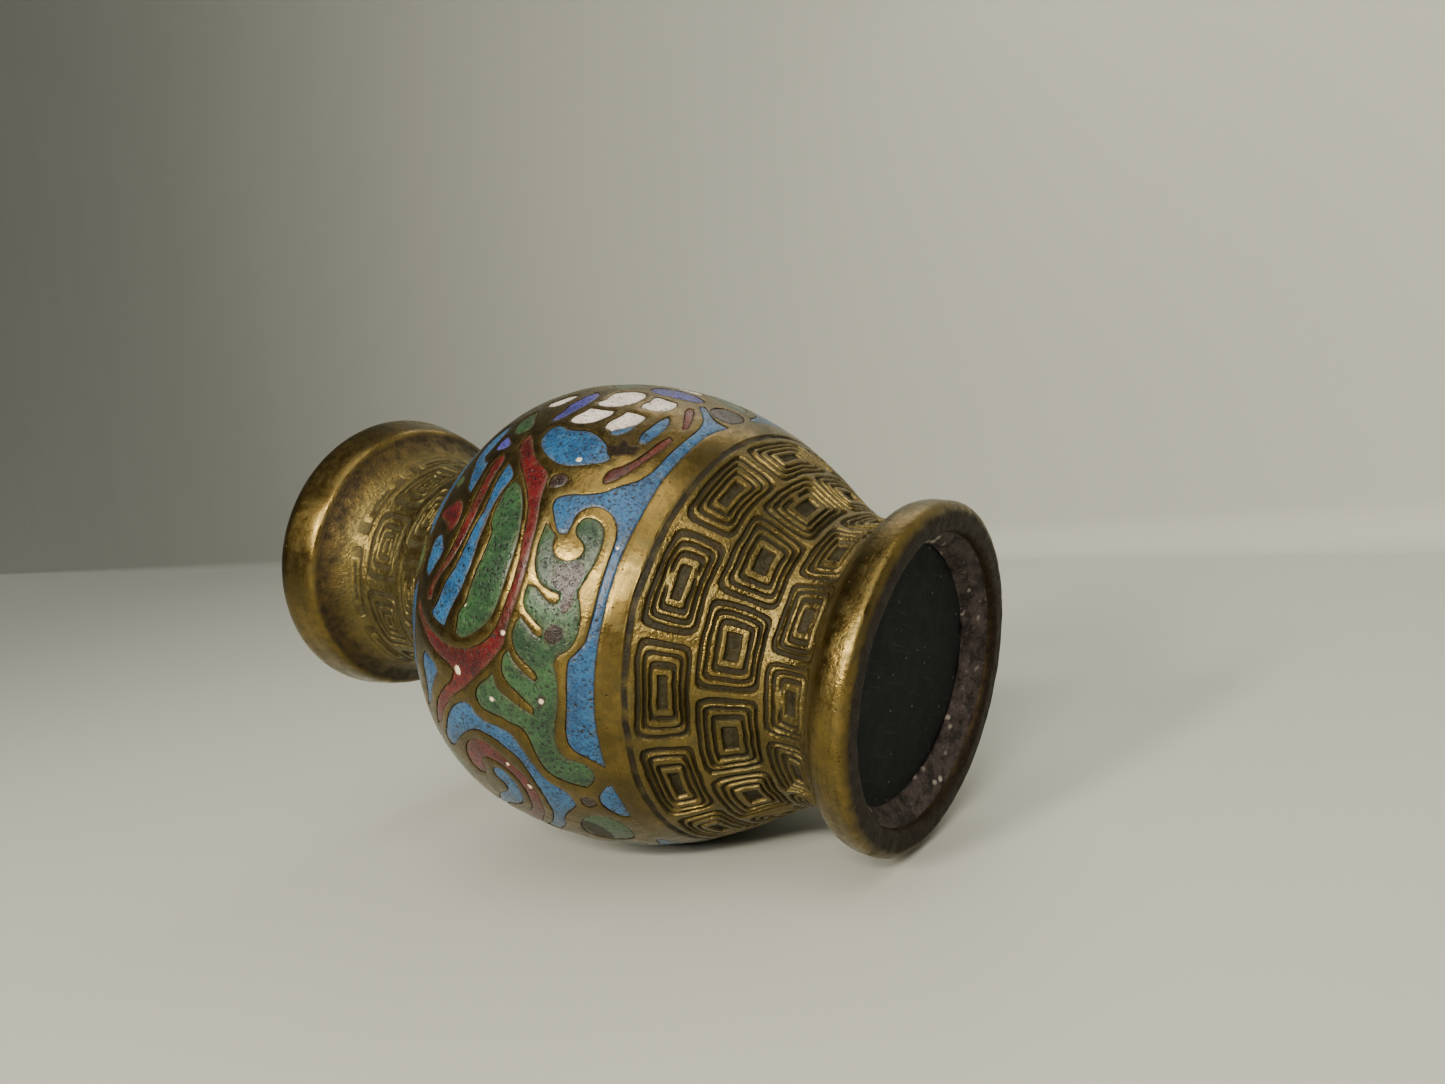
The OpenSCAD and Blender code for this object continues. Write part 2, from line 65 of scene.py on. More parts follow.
PZ, PR = np.array(PROF, float).T


def slopes(x, y):
    h = np.diff(x)
    d = np.diff(y) / h
    m = np.zeros(len(x))
    for i in range(1, len(x) - 1):
        if d[i - 1] * d[i] > 0:
            a, b = 2 * h[i] + h[i - 1], h[i] + 2 * h[i - 1]
            m[i] = (a + b) / (a / d[i - 1] + b / d[i])
    m[0], m[-1] = d[0], d[-1]
    return m


PM = slopes(PZ, PR)


def curve(z, rate=False):
    """Radius at a height on the smooth curve through the profile's points, or how fast it changes."""
    z = np.clip(np.asarray(z, float), PZ[0], PZ[-1])
    i = np.clip(np.searchsorted(PZ, z, side="right") - 1, 0, len(PZ) - 2)
    h = PZ[i + 1] - PZ[i]
    t = (z - PZ[i]) / h
    a, b, p, q = PR[i], PR[i + 1], PM[i] * h, PM[i + 1] * h
    if rate:
        return ((6 * t * t - 6 * t) * a + (3 * t * t - 4 * t + 1) * p + (6 * t - 6 * t * t) * b + (3 * t * t - 2 * t) * q) / h
    return (2 * t**3 - 3 * t * t + 1) * a + (t**3 - 2 * t * t + t) * p + (3 * t * t - 2 * t**3) * b + (t**3 - t * t) * q


def surf(th, z, h=0.0):
    """Point in mm at an angle in degrees and a height, h above the outer surface along its normal. Angle 0 faces -Y."""
    th = np.radians(np.asarray(th, float))
    z = np.asarray(z, float)
    r, d = curve(z), np.clip(curve(z, True), -1.2, 1.2)
    n = np.sqrt(1 + d * d)
    rr = r + h / n
    return np.stack([rr * np.sin(th), -rr * np.cos(th), z - h * d / n], -1)


def hashed(ix, iy, iz, seed):
    n = (ix * 374761393 + iy * 668265263 + iz * 1274126177 + seed * 974634777) & 0xFFFFFFFF
    n = ((n ^ (n >> 13)) * 1103515245) & 0xFFFFFFFF
    n = ((n ^ (n >> 15)) * 2246822519) & 0xFFFFFFFF
    n = (n ^ (n >> 16)) & 0xFFFFFF
    return n / float(0x7FFFFF) - 1.0


def noise3(p, scale=1.0, seed=0):
    """Smooth noise from -1 to 1 at points in mm. scale is the size of its lumps in mm."""
    p = np.asarray(p, float).reshape(-1, 3) / scale
    i = np.floor(p).astype(np.int64)
    f = p - i
    u = f * f * (3 - 2 * f)
    out = np.zeros(len(p))
    for dx in (0, 1):
        for dy in (0, 1):
            for dz in (0, 1):
                w = (u[:, 0] if dx else 1 - u[:, 0]) * (u[:, 1] if dy else 1 - u[:, 1]) * (u[:, 2] if dz else 1 - u[:, 2])
                out += w * hashed(i[:, 0] + dx, i[:, 1] + dy, i[:, 2] + dz, seed)
    return out


def smooth(x, a, b):
    t = np.clip((np.asarray(x, float) - a) / (b - a), 0, 1)
    return t * t * (3 - 2 * t)


# ---------------------------------------------------------------- one closed mesh, built up in bands
class Shell:
    def __init__(self):
        self.p, self.a, self.f, self.n = [], [], [], 0

    def add(self, p, cav=0.0, line=0.0, tone=0.0, dark=0.0):
        p = np.asarray(p, float).reshape(-1, 3)
        k = len(p)
        self.p.append(p)
        self.a.append(np.stack([np.broadcast_to(np.asarray(x, float), k) for x in (cav, line, tone, dark)], -1))
        self.n += k
        return np.arange(self.n - k, self.n)

    def quads(self, a, b):
        """Faces between two closed rings with as many points each, a below b."""
        a2, b2 = np.roll(a, -1), np.roll(b, -1)
        self.f += [tuple(x) for x in np.stack([a, a2, b2, b], -1).tolist()]

    def zip(self, a, ta, b, tb):
        """Triangles between two closed rings with different numbers of points at angles ta and tb, both rising."""
        na, nb = len(a), len(b)
        ta = np.concatenate([ta, ta + 360])
        tb = np.concatenate([tb, tb + 360])
        j0 = int(np.argmin(np.abs(tb[:nb * 2] - ta[0])))
        i, j = 0, 0
        while i < na or j < nb:
            ia, jb = ta[min(i + 1, 2 * na - 1)], tb[min(j0 + j + 1, 2 * nb - 1)]
            if j >= nb or (i < na and ia <= jb):
                self.f.append((int(a[i % na]), int(a[(i + 1) % na]), int(b[(j0 + j) % nb])))
                i += 1
            else:
                self.f.append((int(a[i % na]), int(b[(j0 + j + 1) % nb]), int(b[(j0 + j) % nb])))
                j += 1

    def make(self, name, names=("cav", "line", "tone", "dark")):
        return mesh_object(name, np.concatenate(self.p), self.f, dict(zip(names, np.concatenate(self.a).T)))


def mesh_object(name, p, faces, attrs, smooth_angle=35):
    me = bpy.data.meshes.new(name)
    me.from_pydata((np.asarray(p) * MM).tolist(), [], [tuple(int(i) for i in f) for f in faces])
    me.validate()
    for k, v in attrs.items():
        at = me.attributes.new(k, "FLOAT", "POINT")
        at.data.foreach_set("value", np.asarray(v, np.float32))
    me.update()
    ob = bpy.data.objects.new(name, me)
    bpy.context.scene.collection.objects.link(ob)
    me.shade_smooth()
    me.set_sharp_from_angle(angle=math.radians(smooth_angle))
    return ob


body = Shell()
NLOW, NUP = 192, 160
TH_LOW = -5 + np.arange(NLOW) * 360 / NLOW
TH_UP = -21.5 + np.arange(NUP) * 360 / NUP


def ring(z, th, h=0.0, **a):
    return body.add(surf(th, np.full(len(th), float(z)), h), **a)


def ring_rz(r, z, th, **a):
    t = np.radians(th)
    r = np.broadcast_to(np.asarray(r, float), len(t))
    return body.add(np.stack([r * np.sin(t), -r * np.cos(t), np.broadcast_to(float(z), len(t))], -1), **a)


# ---------------------------------------------------------------- fret bands
WALL = 0.085


def fret(shell, lower, upper, th, z0, z1, units, first, nx, ny, lx, lz_up, lz_dn, zc, depth, tone, fade, seed, bridges, soot_and_shade=1.0):
    """A row of nested rectangles between two rings. lx are the half widths in degrees where a ridge and a groove meet,
    from the pit outwards, and lz_up and lz_dn the half heights in mm. fade is how much relief is left at a height."""
    rng = np.random.default_rng(seed)
    n = len(th)
    per = 360 / units
    sides = {}
    for u in range(units):
        j = (first + u * nx) % n
        zz = z0 + (z1 - z0) * np.arange(1, ny) / ny
        t = np.full(ny - 1, th[j])
        sides[u] = shell.add(warp(t, zz, 0 * zz, fade), tone=tone)
    for u in range(units):
        j = (first + u * nx) % n
        c = th[j] + per / 2
        if c > 180:
            c -= 360
        lo = [lower[(j + i) % n] for i in range(nx + 1)]
        up = [upper[(j + i) % n] for i in range(nx + 1)]
        left, right = sides[u], sides[(u + 1) % units]
        outer = lo + list(right) + up[::-1] + list(left[::-1])
        rmid = float(curve(zc))
        deg = np.degrees(WALL / rmid)
        jx = rng.uniform(-0.25, 0.25, len(lx))
        jz = rng.uniform(-0.04, 0.04, (2, len(lx)))
        off = np.array([rng.uniform(-0.4, 0.4), rng.uniform(-0.1, 0.1)])
        rings = []
        m = len(lx)
        for q in range(m - 1, -1, -1):
            # q odd: ridge inside, groove outside. q even: groove or pit inside, ridge outside.
            ridge_in = q % 2 == 1
            for side in (1, -1):
                top = (side < 0) == ridge_in
                rings.append((q, side, -0.04 if top else -depth, 0.0 if top else 0.85, 0.0 if top else 0.62))
            if q > 0 and ridge_in:
                rings.append((q - 0.5, 0, 0.0, 0.0, 0.0))
        prev = np.array(outer)
        sgn = rng.choice([-1, 1])
        for q, side, h, cav, ln in rings:
            if isinstance(q, float):
                k = int(q)
                x = (lx[k] + jx[k] + lx[k + 1] + jx[k + 1]) / 2
                zu = (lz_up[k] + jz[0, k] + lz_up[k + 1] + jz[0, k + 1]) / 2
                zd = (lz_dn[k] + jz[1, k] + lz_dn[k + 1] + jz[1, k + 1]) / 2
            else:
                x = lx[q] + jx[q] + side * deg
                zu, zd = lz_up[q] + jz[0, q] + side * WALL, lz_dn[q] + jz[1, q] + side * WALL
            s = np.linspace(-1, 1, nx + 1)
            v = np.linspace(0, 1, ny + 1)[1:-1]
            px = np.concatenate([s * x, np.full(ny - 1, x), -s * x, np.full(ny - 1, -x)])
            pz = np.concatenate([np.full(nx + 1, -zd), -zd + v * (zu + zd), np.full(nx + 1, zu), zu - v * (zu + zd)])
            # corners a little round
            for _ in range(1 + (q > 1)):
                px = 0.5 * px + 0.25 * (np.roll(px, 1) + np.roll(px, -1))
                pz = 0.5 * pz + 0.25 * (np.roll(pz, 1) + np.roll(pz, -1))
            share = 1 - max(0.0, float(q)) / m
            t = c + off[0] * share + px
            z = zc + off[1] * share + pz
            hh = np.full(len(t), float(h))
            cc, ll = np.full(len(t), float(cav)), np.full(len(t), float(ln))
            for bt, bz, wt, wz in bridges:
                dt = (t - bt + 180) % 360 - 180
                fill = smooth(1.6 - np.hypot(dt / wt, (z - bz) / wz), 0, 0.6)
                hh = hh * (1 - fill) - 0.02 * fill
                cc, ll = cc * (1 - fill), ll * (1 - fill)
            f = fade(z)
            shell_pts = warp(t, z, hh * f, fade)
            ids = shell.add(shell_pts, cav=cc * (0.35 + 0.65 * f), line=ll * f * soot_and_shade, tone=tone)
            a2, b2 = np.roll(prev, -1), np.roll(ids, -1)
            shell.f += [tuple(x) for x in np.stack([prev, a2, b2, ids], -1).tolist()]
            prev = ids
        # pit floor, collapsed to a line of points
        x = (lx[0] + jx[0]) * 0.72
        s = np.linspace(-1, 1, nx + 1)
        t, z = c + off[0] + s * x, zc + off[1] + (lz_up[0] - lz_dn[0]) / 2 + 0 * s
        sp = shell.add(warp(t, z, (-depth - 0.04) * fade(z), fade), cav=1.0, line=0.25, tone=tone)
        np_ = 2 * (nx + ny)
        to = [min(i, nx) if i <= nx + ny - 1 else max(0, 2 * nx + ny - i) for i in range(np_)]
        for i in range(np_):
            k = (i + 1) % np_
            a, b = int(sp[to[i]]), int(sp[to[k]])
            if a == b:
                shell.f.append((int(prev[i]), int(prev[k]), a))
            else:
                shell.f.append((int(prev[i]), int(prev[k]), b, a))


def warp(t, z, h, fade):
    """A point of a fret band, moved a little as in a hand-cut mould."""
    t, z = np.asarray(t, float), np.asarray(z, float)
    p = surf(t, z)
    w = WARP[0]
    dt = w * (0.6 * noise3(p, 4.2, 11) + 0.34 * noise3(p, 1.7, 12) + 0.2 * noise3(p, 0.8, 17))
    dz = w * (0.55 * noise3(p, 4.8, 13) + 0.32 * noise3(p, 1.9, 14) + 0.2 * noise3(p, 0.8, 18))
    keep = smooth(z, WARP[1], WARP[1] + 1.0) * (1 - smooth(z, WARP[2] - 1.0, WARP[2]))
    hh = h * (1 + 0.25 * noise3(p, 2.6, 15)) + (0.05 * noise3(p, 3.1, 16) + 0.05 * noise3(p, 1.1, 19)) * keep - 0.09 * keep
    return surf(t + np.degrees(dt * keep / curve(z)), z + dz * keep, hh)


def fret_ring(z, th):
    zz = np.full(len(th), float(z))
    return body.add(warp(th, zz, 0 * zz, None), tone=TONE[0])


TONE = [0.35]
# lower body: three rows, 12 units round, rows staggered by half a unit
WARP = [0.3, 6.3, 26.0]
low_fade = lambda z: smooth(z, 6.2, 8.2)
r_63 = ring(6.3, TH_LOW, cav=0.5, tone=0.3, dark=0.25)
r_123 = fret_ring(12.3, TH_LOW)
r_190 = fret_ring(18.98, TH_LOW)
r_250 = fret_ring(24.95, TH_LOW)
fret(body, r_63, r_123, TH_LOW, 6.3, 12.3, 12, 0, 16, 6, [4.4, 7.0, 8.6, 10.0, 11.2, 12.4, 13.9],
     [0.8, 1.3, 1.64, 2.05, 2.4, 2.78, 3.2], [0.6, 0.9, 1.16, 1.42, 1.66, 1.9, 2.18], 8.75, 0.34, 0.42, low_fade, 31, [(-20, 10.3, 2.5, 0.5)])
fret(body, r_123, r_190, TH_LOW, 12.3, 18.98, 12, 8, 16, 6, [4.6, 6.7, 8.5, 10.0, 11.2, 12.5, 14.1],
     [0.72, 1.34, 1.66, 2.06, 2.36, 2.72, 3.06], [0.75, 1.4, 1.7, 2.1, 2.38, 2.72, 3.06], 15.65, 0.42, 0.36, lambda z: 1 + 0 * z, 32,
     [(112, 13.9, 1.6, 0.4), (55, 17.4, 1.4, 0.35), (203, 17.3, 1.8, 0.4)])
fret(body, r_190, r_250, TH_LOW, 18.98, 24.95, 12, 0, 16, 6, [4.9, 6.8, 8.3, 9.8, 11.0, 12.2, 13.8],
     [0.5, 1.02, 1.36, 1.72, 2.02, 2.34, 2.76], [0.55, 1.1, 1.4, 1.74, 2.02, 2.32, 2.66], 21.9, 0.42, 0.3, lambda z: 1 + 0 * z, 33,
     [(9.3, 23.2, 1.7, 0.42), (12.8, 20.62, 0.7, 0.3), (-110, 23.2, 1.5, 0.4), (160, 20.6, 1.3, 0.35)])
# dark groove under the plain band, then the band itself
g = [(25.22, -0.06, 0, 0, 0.3), (25.4, -0.34, 0.9, 1, 0.3), (25.7, -0.38, 1, 0.9, 0.3), (25.92, -0.33, 0.8, 1, 0.25),
     (26.12, -0.05, 0, 0.1, 0.1)]
last = r_250
for z, h, cav, ln, tone in g:
    zz = np.full(NLOW, z)
    p = surf(TH_LOW, zz)
    wave = 0.16 * noise3(p, 5.5, 21) + 0.1 * noise3(p, 2.1, 22)
    part = 1.0 if 25.3 < z < 26.0 else 0.6
    worn = np.clip(0.9 + 0.6 * noise3(p, 1.7, 25), 0.4, 1)
    r_ = body.add(surf(TH_LOW, zz + wave * part, h * (0.85 + 0.6 * noise3(p, 3.4, 23)) * worn - 0.01), cav=cav * worn, line=ln * worn,
                  tone=tone)
    body.quads(last, r_)
    last = r_
for z, h in [(26.3, -0.01), (26.8, 0.0), (27.3, 0.0), (27.8, 0.0)]:
    zz = np.full(NLOW, z)
    p = surf(TH_LOW, zz)
    r_ = body.add(surf(TH_LOW, zz, h + 0.03 * noise3(p, 3, 24) - 0.02), tone=0.0)
    body.quads(last, r_)
    last = r_
ring_low = ring(28.2, TH_LOW, -0.01, tone=0.0)
body.quads(last, ring_low)

# Enamel cells: name: (colour, [(angle in degrees, height in mm), ...]). The design comes twice round the belly.
CELLS = {
    "blue_low_a": ("sky_blue", [(-61, 28.8), (-58, 28.6), (-53, 28.6), (-48, 28.7), (-48, 29.3), (-50, 30.3),
        (-52, 31), (-55, 31.2), (-58, 30.6), (-60.5, 29.8)]),
    "blue_low_b": ("sky_blue", [(-42, 28.7), (-30, 28.8), (-20, 28.8), (-8, 28.7), (4, 28.6), (14, 28.6),
        (24, 28.5), (34, 28.7), (34, 30.3), (31, 30.8), (28.5, 31.8), (26.5, 32.8), (24.5, 33.7), (23, 35),
        (21.8, 36.6), (20.6, 38.2), (19.3, 39), (17.5, 38.9), (15.5, 38.2), (13.2, 37.3), (12, 36.6), (12.4, 35.6),
        (14.5, 35.5), (17, 35.5), (19.2, 34.8), (20.4, 33.4), (19.8, 31.8), (18, 30.7), (15, 30), (9, 29.8),
        (4, 29.8), (-1, 29.8), (-6, 29.9), (-10, 30.2), (-12.6, 31), (-14.6, 31.8), (-18, 32), (-23, 32),
        (-28, 32.2), (-32, 32.5), (-35.5, 32.4), (-37.5, 31.8), (-38.7, 30.8), (-40.2, 29.8)]),
    "blue_low_c": ("sky_blue", [(33, 28.7), (44, 28.7), (54, 28.9), (61.5, 28.5), (61.2, 30), (62.4, 31.4),
        (64, 32.6), (65.8, 33.9), (64.6, 34.3), (62.2, 33.2), (60, 32), (57, 31), (53, 30.4), (47, 30.2),
        (41, 30.2), (36, 30.2), (33, 30.4)]),
    "blue_left": ("sky_blue", [(-74, 43), (-70, 41), (-66, 39.2), (-63, 38.4), (-60, 37.2), (-57.6, 35.8),
        (-55.5, 34.8), (-51.5, 34.8), (-49.5, 35.5), (-48, 36.5), (-45.5, 37.4), (-42.5, 38), (-39.5, 38.7),
        (-36.8, 39.4), (-34.8, 40.2), (-33.8, 42), (-33.2, 44), (-32, 45.5), (-30.4, 46.2), (-29.9, 47.2),
        (-31, 48.8), (-33.5, 50.6), (-37, 52), (-40, 53), (-43, 54), (-46, 53.8), (-45, 52.4), (-43, 51.4),
        (-40.6, 50), (-38.4, 48.4), (-36.8, 46.8), (-36.6, 45), (-37.6, 43), (-39.4, 41.6), (-41.4, 40.2),
        (-45, 39.3), (-50, 38.9), (-55, 38.9), (-60, 39.5), (-64, 40.7), (-68, 42.4), (-72, 44.6)]),
    "blue_swirl": ("sky_blue", [(-74, 55.5), (-70, 53.4), (-66, 51.3), (-62, 49.7), (-59, 48.2), (-56.6, 46.4),
        (-54.5, 45.2), (-52, 45.1), (-50.3, 45.8), (-48.4, 45.9), (-46.8, 45.1), (-46.8, 44.1), (-48.6, 43.2),
        (-51, 42.8), (-54, 42.8), (-57.4, 43.4), (-60.2, 44.6), (-62.2, 46.2), (-64, 48.2), (-66.5, 49.8),
        (-70, 51.8), (-74, 54)]),
    "blue_strip": ("sky_blue", [(-13.8, 50.8), (-13.3, 52.2), (-12.4, 53.4), (-11.3, 53.7), (-9.8, 53), (-7, 52.3),
        (-4, 51.7), (-1, 50.7), (2, 50.1), (6, 49.7), (10, 49.3), (13, 49), (16, 49), (19, 49.3), (23, 49.4),
        (26, 49.3), (24.6, 48.1), (22.5, 47.1), (20.5, 47.2), (16, 47.7), (11, 47.6), (6, 47.7), (2, 47.7),
        (-2, 48.1), (-5, 48.6), (-8, 49.4), (-11, 50.2)]),
    "blue_up_a": ("sky_blue", [(-37, 57.2), (-34, 56.4), (-31, 56), (-27, 56.1), (-23, 56), (-21.4, 55.2),
        (-22.4, 53.8), (-23.6, 52.6), (-25, 52.2), (-27.2, 53.1), (-30, 54.2), (-33.5, 55.2), (-36, 56.2)]),
    "blue_up_b": ("sky_blue", [(-4, 56.4), (-2.6, 57.2), (1, 57.3), (4.4, 57.1), (6.2, 56.4), (6.2, 55.5),
        (4.4, 54.6), (3.2, 53.9), (1.2, 54.2), (-1, 55), (-3, 55.6)]),
    "blue_up_c": ("sky_blue", [(17, 53.1), (18.2, 54.2), (21, 55.1), (24, 56), (27, 57), (32, 57.5), (37, 57),
        (40, 56), (37, 55.2), (31, 55), (27.6, 55.2), (26.4, 54.3), (25.8, 53.3), (21, 53)]),
    "blue_field": ("sky_blue", [(28, 40), (28.1, 42), (29, 43.6), (30.4, 45), (32, 46.2), (34.5, 47.1),
        (37.5, 47.1), (39.4, 46.4), (39, 45), (38.6, 43.8), (39.1, 42.2), (39.2, 41), (38.4, 39.6), (37.4, 38.3),
        (36.4, 37.4), (34.6, 36.6), (33.2, 35.7), (31.8, 36), (30.2, 37.2), (29, 38.4)]),
    "blue_cres": ("sky_blue", [(40.6, 34.4), (43, 34.9), (47, 34.9), (51, 34.9), (53.4, 34.7), (52, 34),
        (49.5, 33.4), (46, 33.2), (42.5, 33.3), (40.6, 33.6)]),
    "blue_petal": ("sky_blue", [(40, 38.3), (41, 38.6), (42.4, 37.9), (44, 37.2), (46.4, 36.5), (44, 36.4),
        (41.6, 36.8), (40.2, 37.4)]),
    "red_main": ("oxblood", [(-10, 57.8), (-12.6, 56.4), (-14.8, 54.6), (-16.2, 52.6), (-17.3, 50.6),
        (-17.7, 48.6), (-17.4, 47), (-16.5, 45.4), (-15.2, 44), (-13.4, 42.8), (-11.4, 42), (-8, 41.3), (-4, 40.8),
        (0, 40.5), (4.5, 40.6), (9, 41.1), (13.5, 41.7), (17, 42.6), (20, 43.8), (23, 45.4), (26, 47.2),
        (29, 48.8), (31.6, 49.8), (35.6, 50), (34, 48.6), (31.6, 47.4), (29.2, 46), (27.4, 44.6), (26, 43),
        (24.4, 41.9), (22, 41.5), (18.5, 41), (14, 40.1), (9, 39.5), (4, 39.2), (-1, 39.2), (-5, 39.5),
        (-8.5, 39.9), (-11.6, 40.2), (-14, 40.4), (-16.5, 41.3), (-19, 42.5), (-22, 44.2), (-24.6, 45.8),
        (-27, 47.4), (-29, 49), (-31.6, 50.6), (-35, 52.3), (-38.6, 53.6), (-41, 55.4), (-38, 54.9), (-34.4, 53.9),
        (-31, 52.6), (-28, 51), (-25.6, 49.4), (-23.2, 48.9), (-22.1, 49.8), (-21.4, 51.2), (-20.2, 52.6),
        (-18.8, 54), (-17, 55.4), (-14.6, 56.8), (-12, 58.2)]),
    "red_swirl": ("oxblood", [(-78, 49.6), (-74, 46.8), (-70, 44.8), (-66, 43), (-62, 41.4), (-57.5, 40.3),
        (-53, 39.7), (-49, 39.9), (-46, 40.7), (-43.3, 42), (-40.8, 43.5), (-39.4, 45), (-39.3, 46.6),
        (-40.6, 48.3), (-43, 49.6), (-46, 50.3), (-49.4, 50.3), (-51.4, 49.4), (-51, 48.2), (-48.5, 47.4),
        (-45.8, 47.1), (-44.4, 46.2), (-44.6, 44.5), (-46.2, 43), (-48.6, 42), (-52, 41.6), (-56.4, 42),
        (-60, 42.9), (-63, 44.2), (-66, 46.4), (-70, 48.6), (-74, 50.6), (-78, 52.2)]),
    "red_up": ("oxblood", [(-9.4, 55.5), (-6.6, 55.2), (-4, 54.6), (-1.6, 53.7), (1, 52.7), (4, 52.1), (8, 51.8),
        (13, 51.6), (18, 51.7), (23, 52), (26.4, 52.1), (28.6, 51.5), (27, 50.6), (22, 50.4), (17, 50.2),
        (12, 50.1), (7, 50.4), (3, 51), (0, 51.8), (-2.6, 52.9), (-5.4, 53.8), (-9, 54.3)]),
    "red_drop": ("oxblood", [(7, 54.1), (8.6, 55.2), (9.6, 56.6), (10.6, 58.2), (12, 58.2), (14, 56.8),
        (15.2, 55.4), (14.8, 54), (13, 53.1), (10, 52.9), (8, 53.3)]),
    "red_cres_a": ("oxblood", [(26.2, 34.5), (27.6, 34.9), (30, 34.8), (32.4, 33.8), (35, 33), (38.6, 32.5),
        (42.6, 32.3), (46.4, 31.9), (45.6, 31.2), (42, 31.2), (38, 31.6), (34.5, 32), (31, 32.6), (28.2, 33.4)]),
    "red_cres_b": ("oxblood", [(50.6, 31.7), (53, 32.4), (55.8, 33.3), (58.4, 34.2), (60.6, 34.6), (61.6, 34.1),
        (59.6, 33.2), (57, 32.4), (54, 31.7), (51.8, 31.3)]),
    "green_main": ("green", [(-48.6, 31.8), (-48, 33), (-46.8, 34.4), (-45.4, 35.7), (-43, 36.6), (-40, 37.1),
        (-36.6, 37.4), (-34, 37.8), (-32.4, 38.6), (-32, 39.8), (-31.2, 41.2), (-30.7, 42.8), (-29.8, 44.3),
        (-28.2, 45), (-26, 44.9), (-24, 44), (-22.4, 42.8), (-20.8, 42), (-22.6, 41.7), (-24.4, 41.2),
        (-25.6, 40.1), (-27, 38.6), (-28.2, 37.2), (-28.8, 36.4), (-27.2, 36.4), (-25.6, 37.4), (-24, 38.4),
        (-22.8, 39.4), (-21.2, 40.3), (-18.6, 40.6), (-16.2, 40.3), (-15, 39.7), (-16.8, 39), (-18.6, 37.9),
        (-20, 36.8), (-20.8, 36), (-20, 35.6), (-18.8, 36), (-17.4, 37.1), (-15.8, 38.2), (-13.8, 39),
        (-11.4, 39.3), (-8.8, 39), (-7.2, 38.5), (-8.6, 37.6), (-10, 36.6), (-10.9, 35.8), (-10.2, 35.2),
        (-9, 35.5), (-7.8, 36.5), (-6.4, 37.5), (-5, 38.3), (-2.6, 38.5), (-0.4, 38.3), (-0.4, 37.3), (-1.6, 36.4),
        (-2.7, 35.5), (-3, 34.5), (-2, 34), (-0.9, 34.3), (-0.5, 35.4), (0.4, 36.7), (2, 37.6), (4.4, 38.2),
        (8, 38.6), (13.6, 38.7), (12.4, 37.8), (11.6, 37), (10.2, 36.9), (8.4, 36.6), (7, 35.9), (6.5, 34.9),
        (7, 33.8), (8.2, 33.1), (9.8, 32.9), (11.2, 33.3), (12.2, 34.1), (13.4, 34.7), (15.4, 34.8), (17, 34.4),
        (17.5, 33.3), (16.8, 32.1), (15, 31.4), (12, 31.1), (8, 31.1), (4.6, 31.5), (2, 31.9), (0, 32),
        (-1.6, 31.6), (-4, 31.2), (-7.5, 31.1), (-10.5, 31.4), (-12.6, 32.1), (-14.2, 33.1), (-15.8, 33.6),
        (-18.5, 33.2), (-22, 33), (-26, 33.1), (-30, 33.6), (-34, 34), (-37, 33.9), (-39.3, 33.3), (-40.2, 32),
        (-41.2, 30.9), (-43.4, 30.4), (-46, 30.6)]),
    "green_leaf": ("green", [(-15.2, 47.6), (-14.6, 48.6), (-12.6, 48.4), (-9.8, 48.3), (-7.6, 47.4), (-4, 47),
        (0, 46.6), (4, 46.2), (9, 46.1), (11, 46.8), (15, 47.1), (19.6, 47), (21.6, 46.3), (20.4, 45), (18, 43.8),
        (14.6, 42.7), (11, 42), (7, 41.6), (1, 41.6), (-4, 41.9), (-7.6, 42.4), (-10.4, 43.3), (-12.6, 44.7),
        (-14.4, 46.2)]),
    "green_oval": ("green", [(-76, 34), (-75, 36), (-72.6, 37.2), (-69, 37.4), (-65, 36.6), (-61.6, 35.2),
        (-60, 33.6), (-60.6, 32), (-63, 30.9), (-67, 30.5), (-71.4, 30.8), (-74.8, 32)]),
    "green_tip": ("green", [(18.6, 57.2), (19.6, 58.4), (21.2, 58.9), (22.8, 58.3), (22.4, 57.3), (20.6, 56.6)]),
    "green_back": ("green", [(35, 52), (36.6, 53.4), (39.6, 54.2), (43, 54), (44.6, 53), (42, 52.2), (39.4, 51),
        (37, 50.8)]),
    "aub_a": ("aubergine", [(-11.8, 34.2), (-11.1, 35), (-9.9, 35.1), (-8.4, 34.7), (-7.4, 33.9), (-8, 33.1),
        (-9.4, 32.8), (-10.9, 33.2)]),
    "aub_b": ("aubergine", [(-5, 33.4), (-3.6, 33.7), (-2.4, 33.7), (-0.4, 33.6), (0.3, 34.6), (1.4, 35.3),
        (3.4, 35.5), (5.6, 35.2), (6.2, 34.2), (7.4, 32.9), (6.6, 32.3), (4.6, 32), (2.2, 32.2), (0, 32.4),
        (-2.4, 32.4), (-4, 32.7)]),
    "aub_c": ("aubergine", [(21.6, 40.8), (22.8, 41.2), (24.4, 41.2), (25.6, 40.6), (25.6, 39.6), (24.8, 38.9),
        (23, 39), (22, 39.8)]),
    "aub_d": ("aubergine", [(-56.2, 33.1), (-55, 33.7), (-52.8, 33.6), (-51.8, 32.6), (-53, 31.8), (-55.2, 31.8)]),
    "aub_oval": ("aubergine", [(62.6, 30.4), (63.4, 31.8), (65.4, 32.9), (68, 33.2), (70.8, 32.8), (72.4, 31.4),
        (72, 30), (69.6, 29.1), (66, 28.9), (63.6, 29.3)]),
    "white_a": ("white", [(41, 44.4), (41.5, 45.4), (43, 45.7), (44.8, 45.4), (46.4, 45.1), (47.8, 45), (48, 43.8),
        (48.2, 42.4), (48.6, 41.3), (47, 40.9), (45, 41.2), (43, 41.8), (41.6, 42.8)]),
    "white_b": ("white", [(49.8, 44.3), (51, 45.3), (53.2, 44.9), (55.4, 45.3), (57.6, 45.4), (59.4, 44.6),
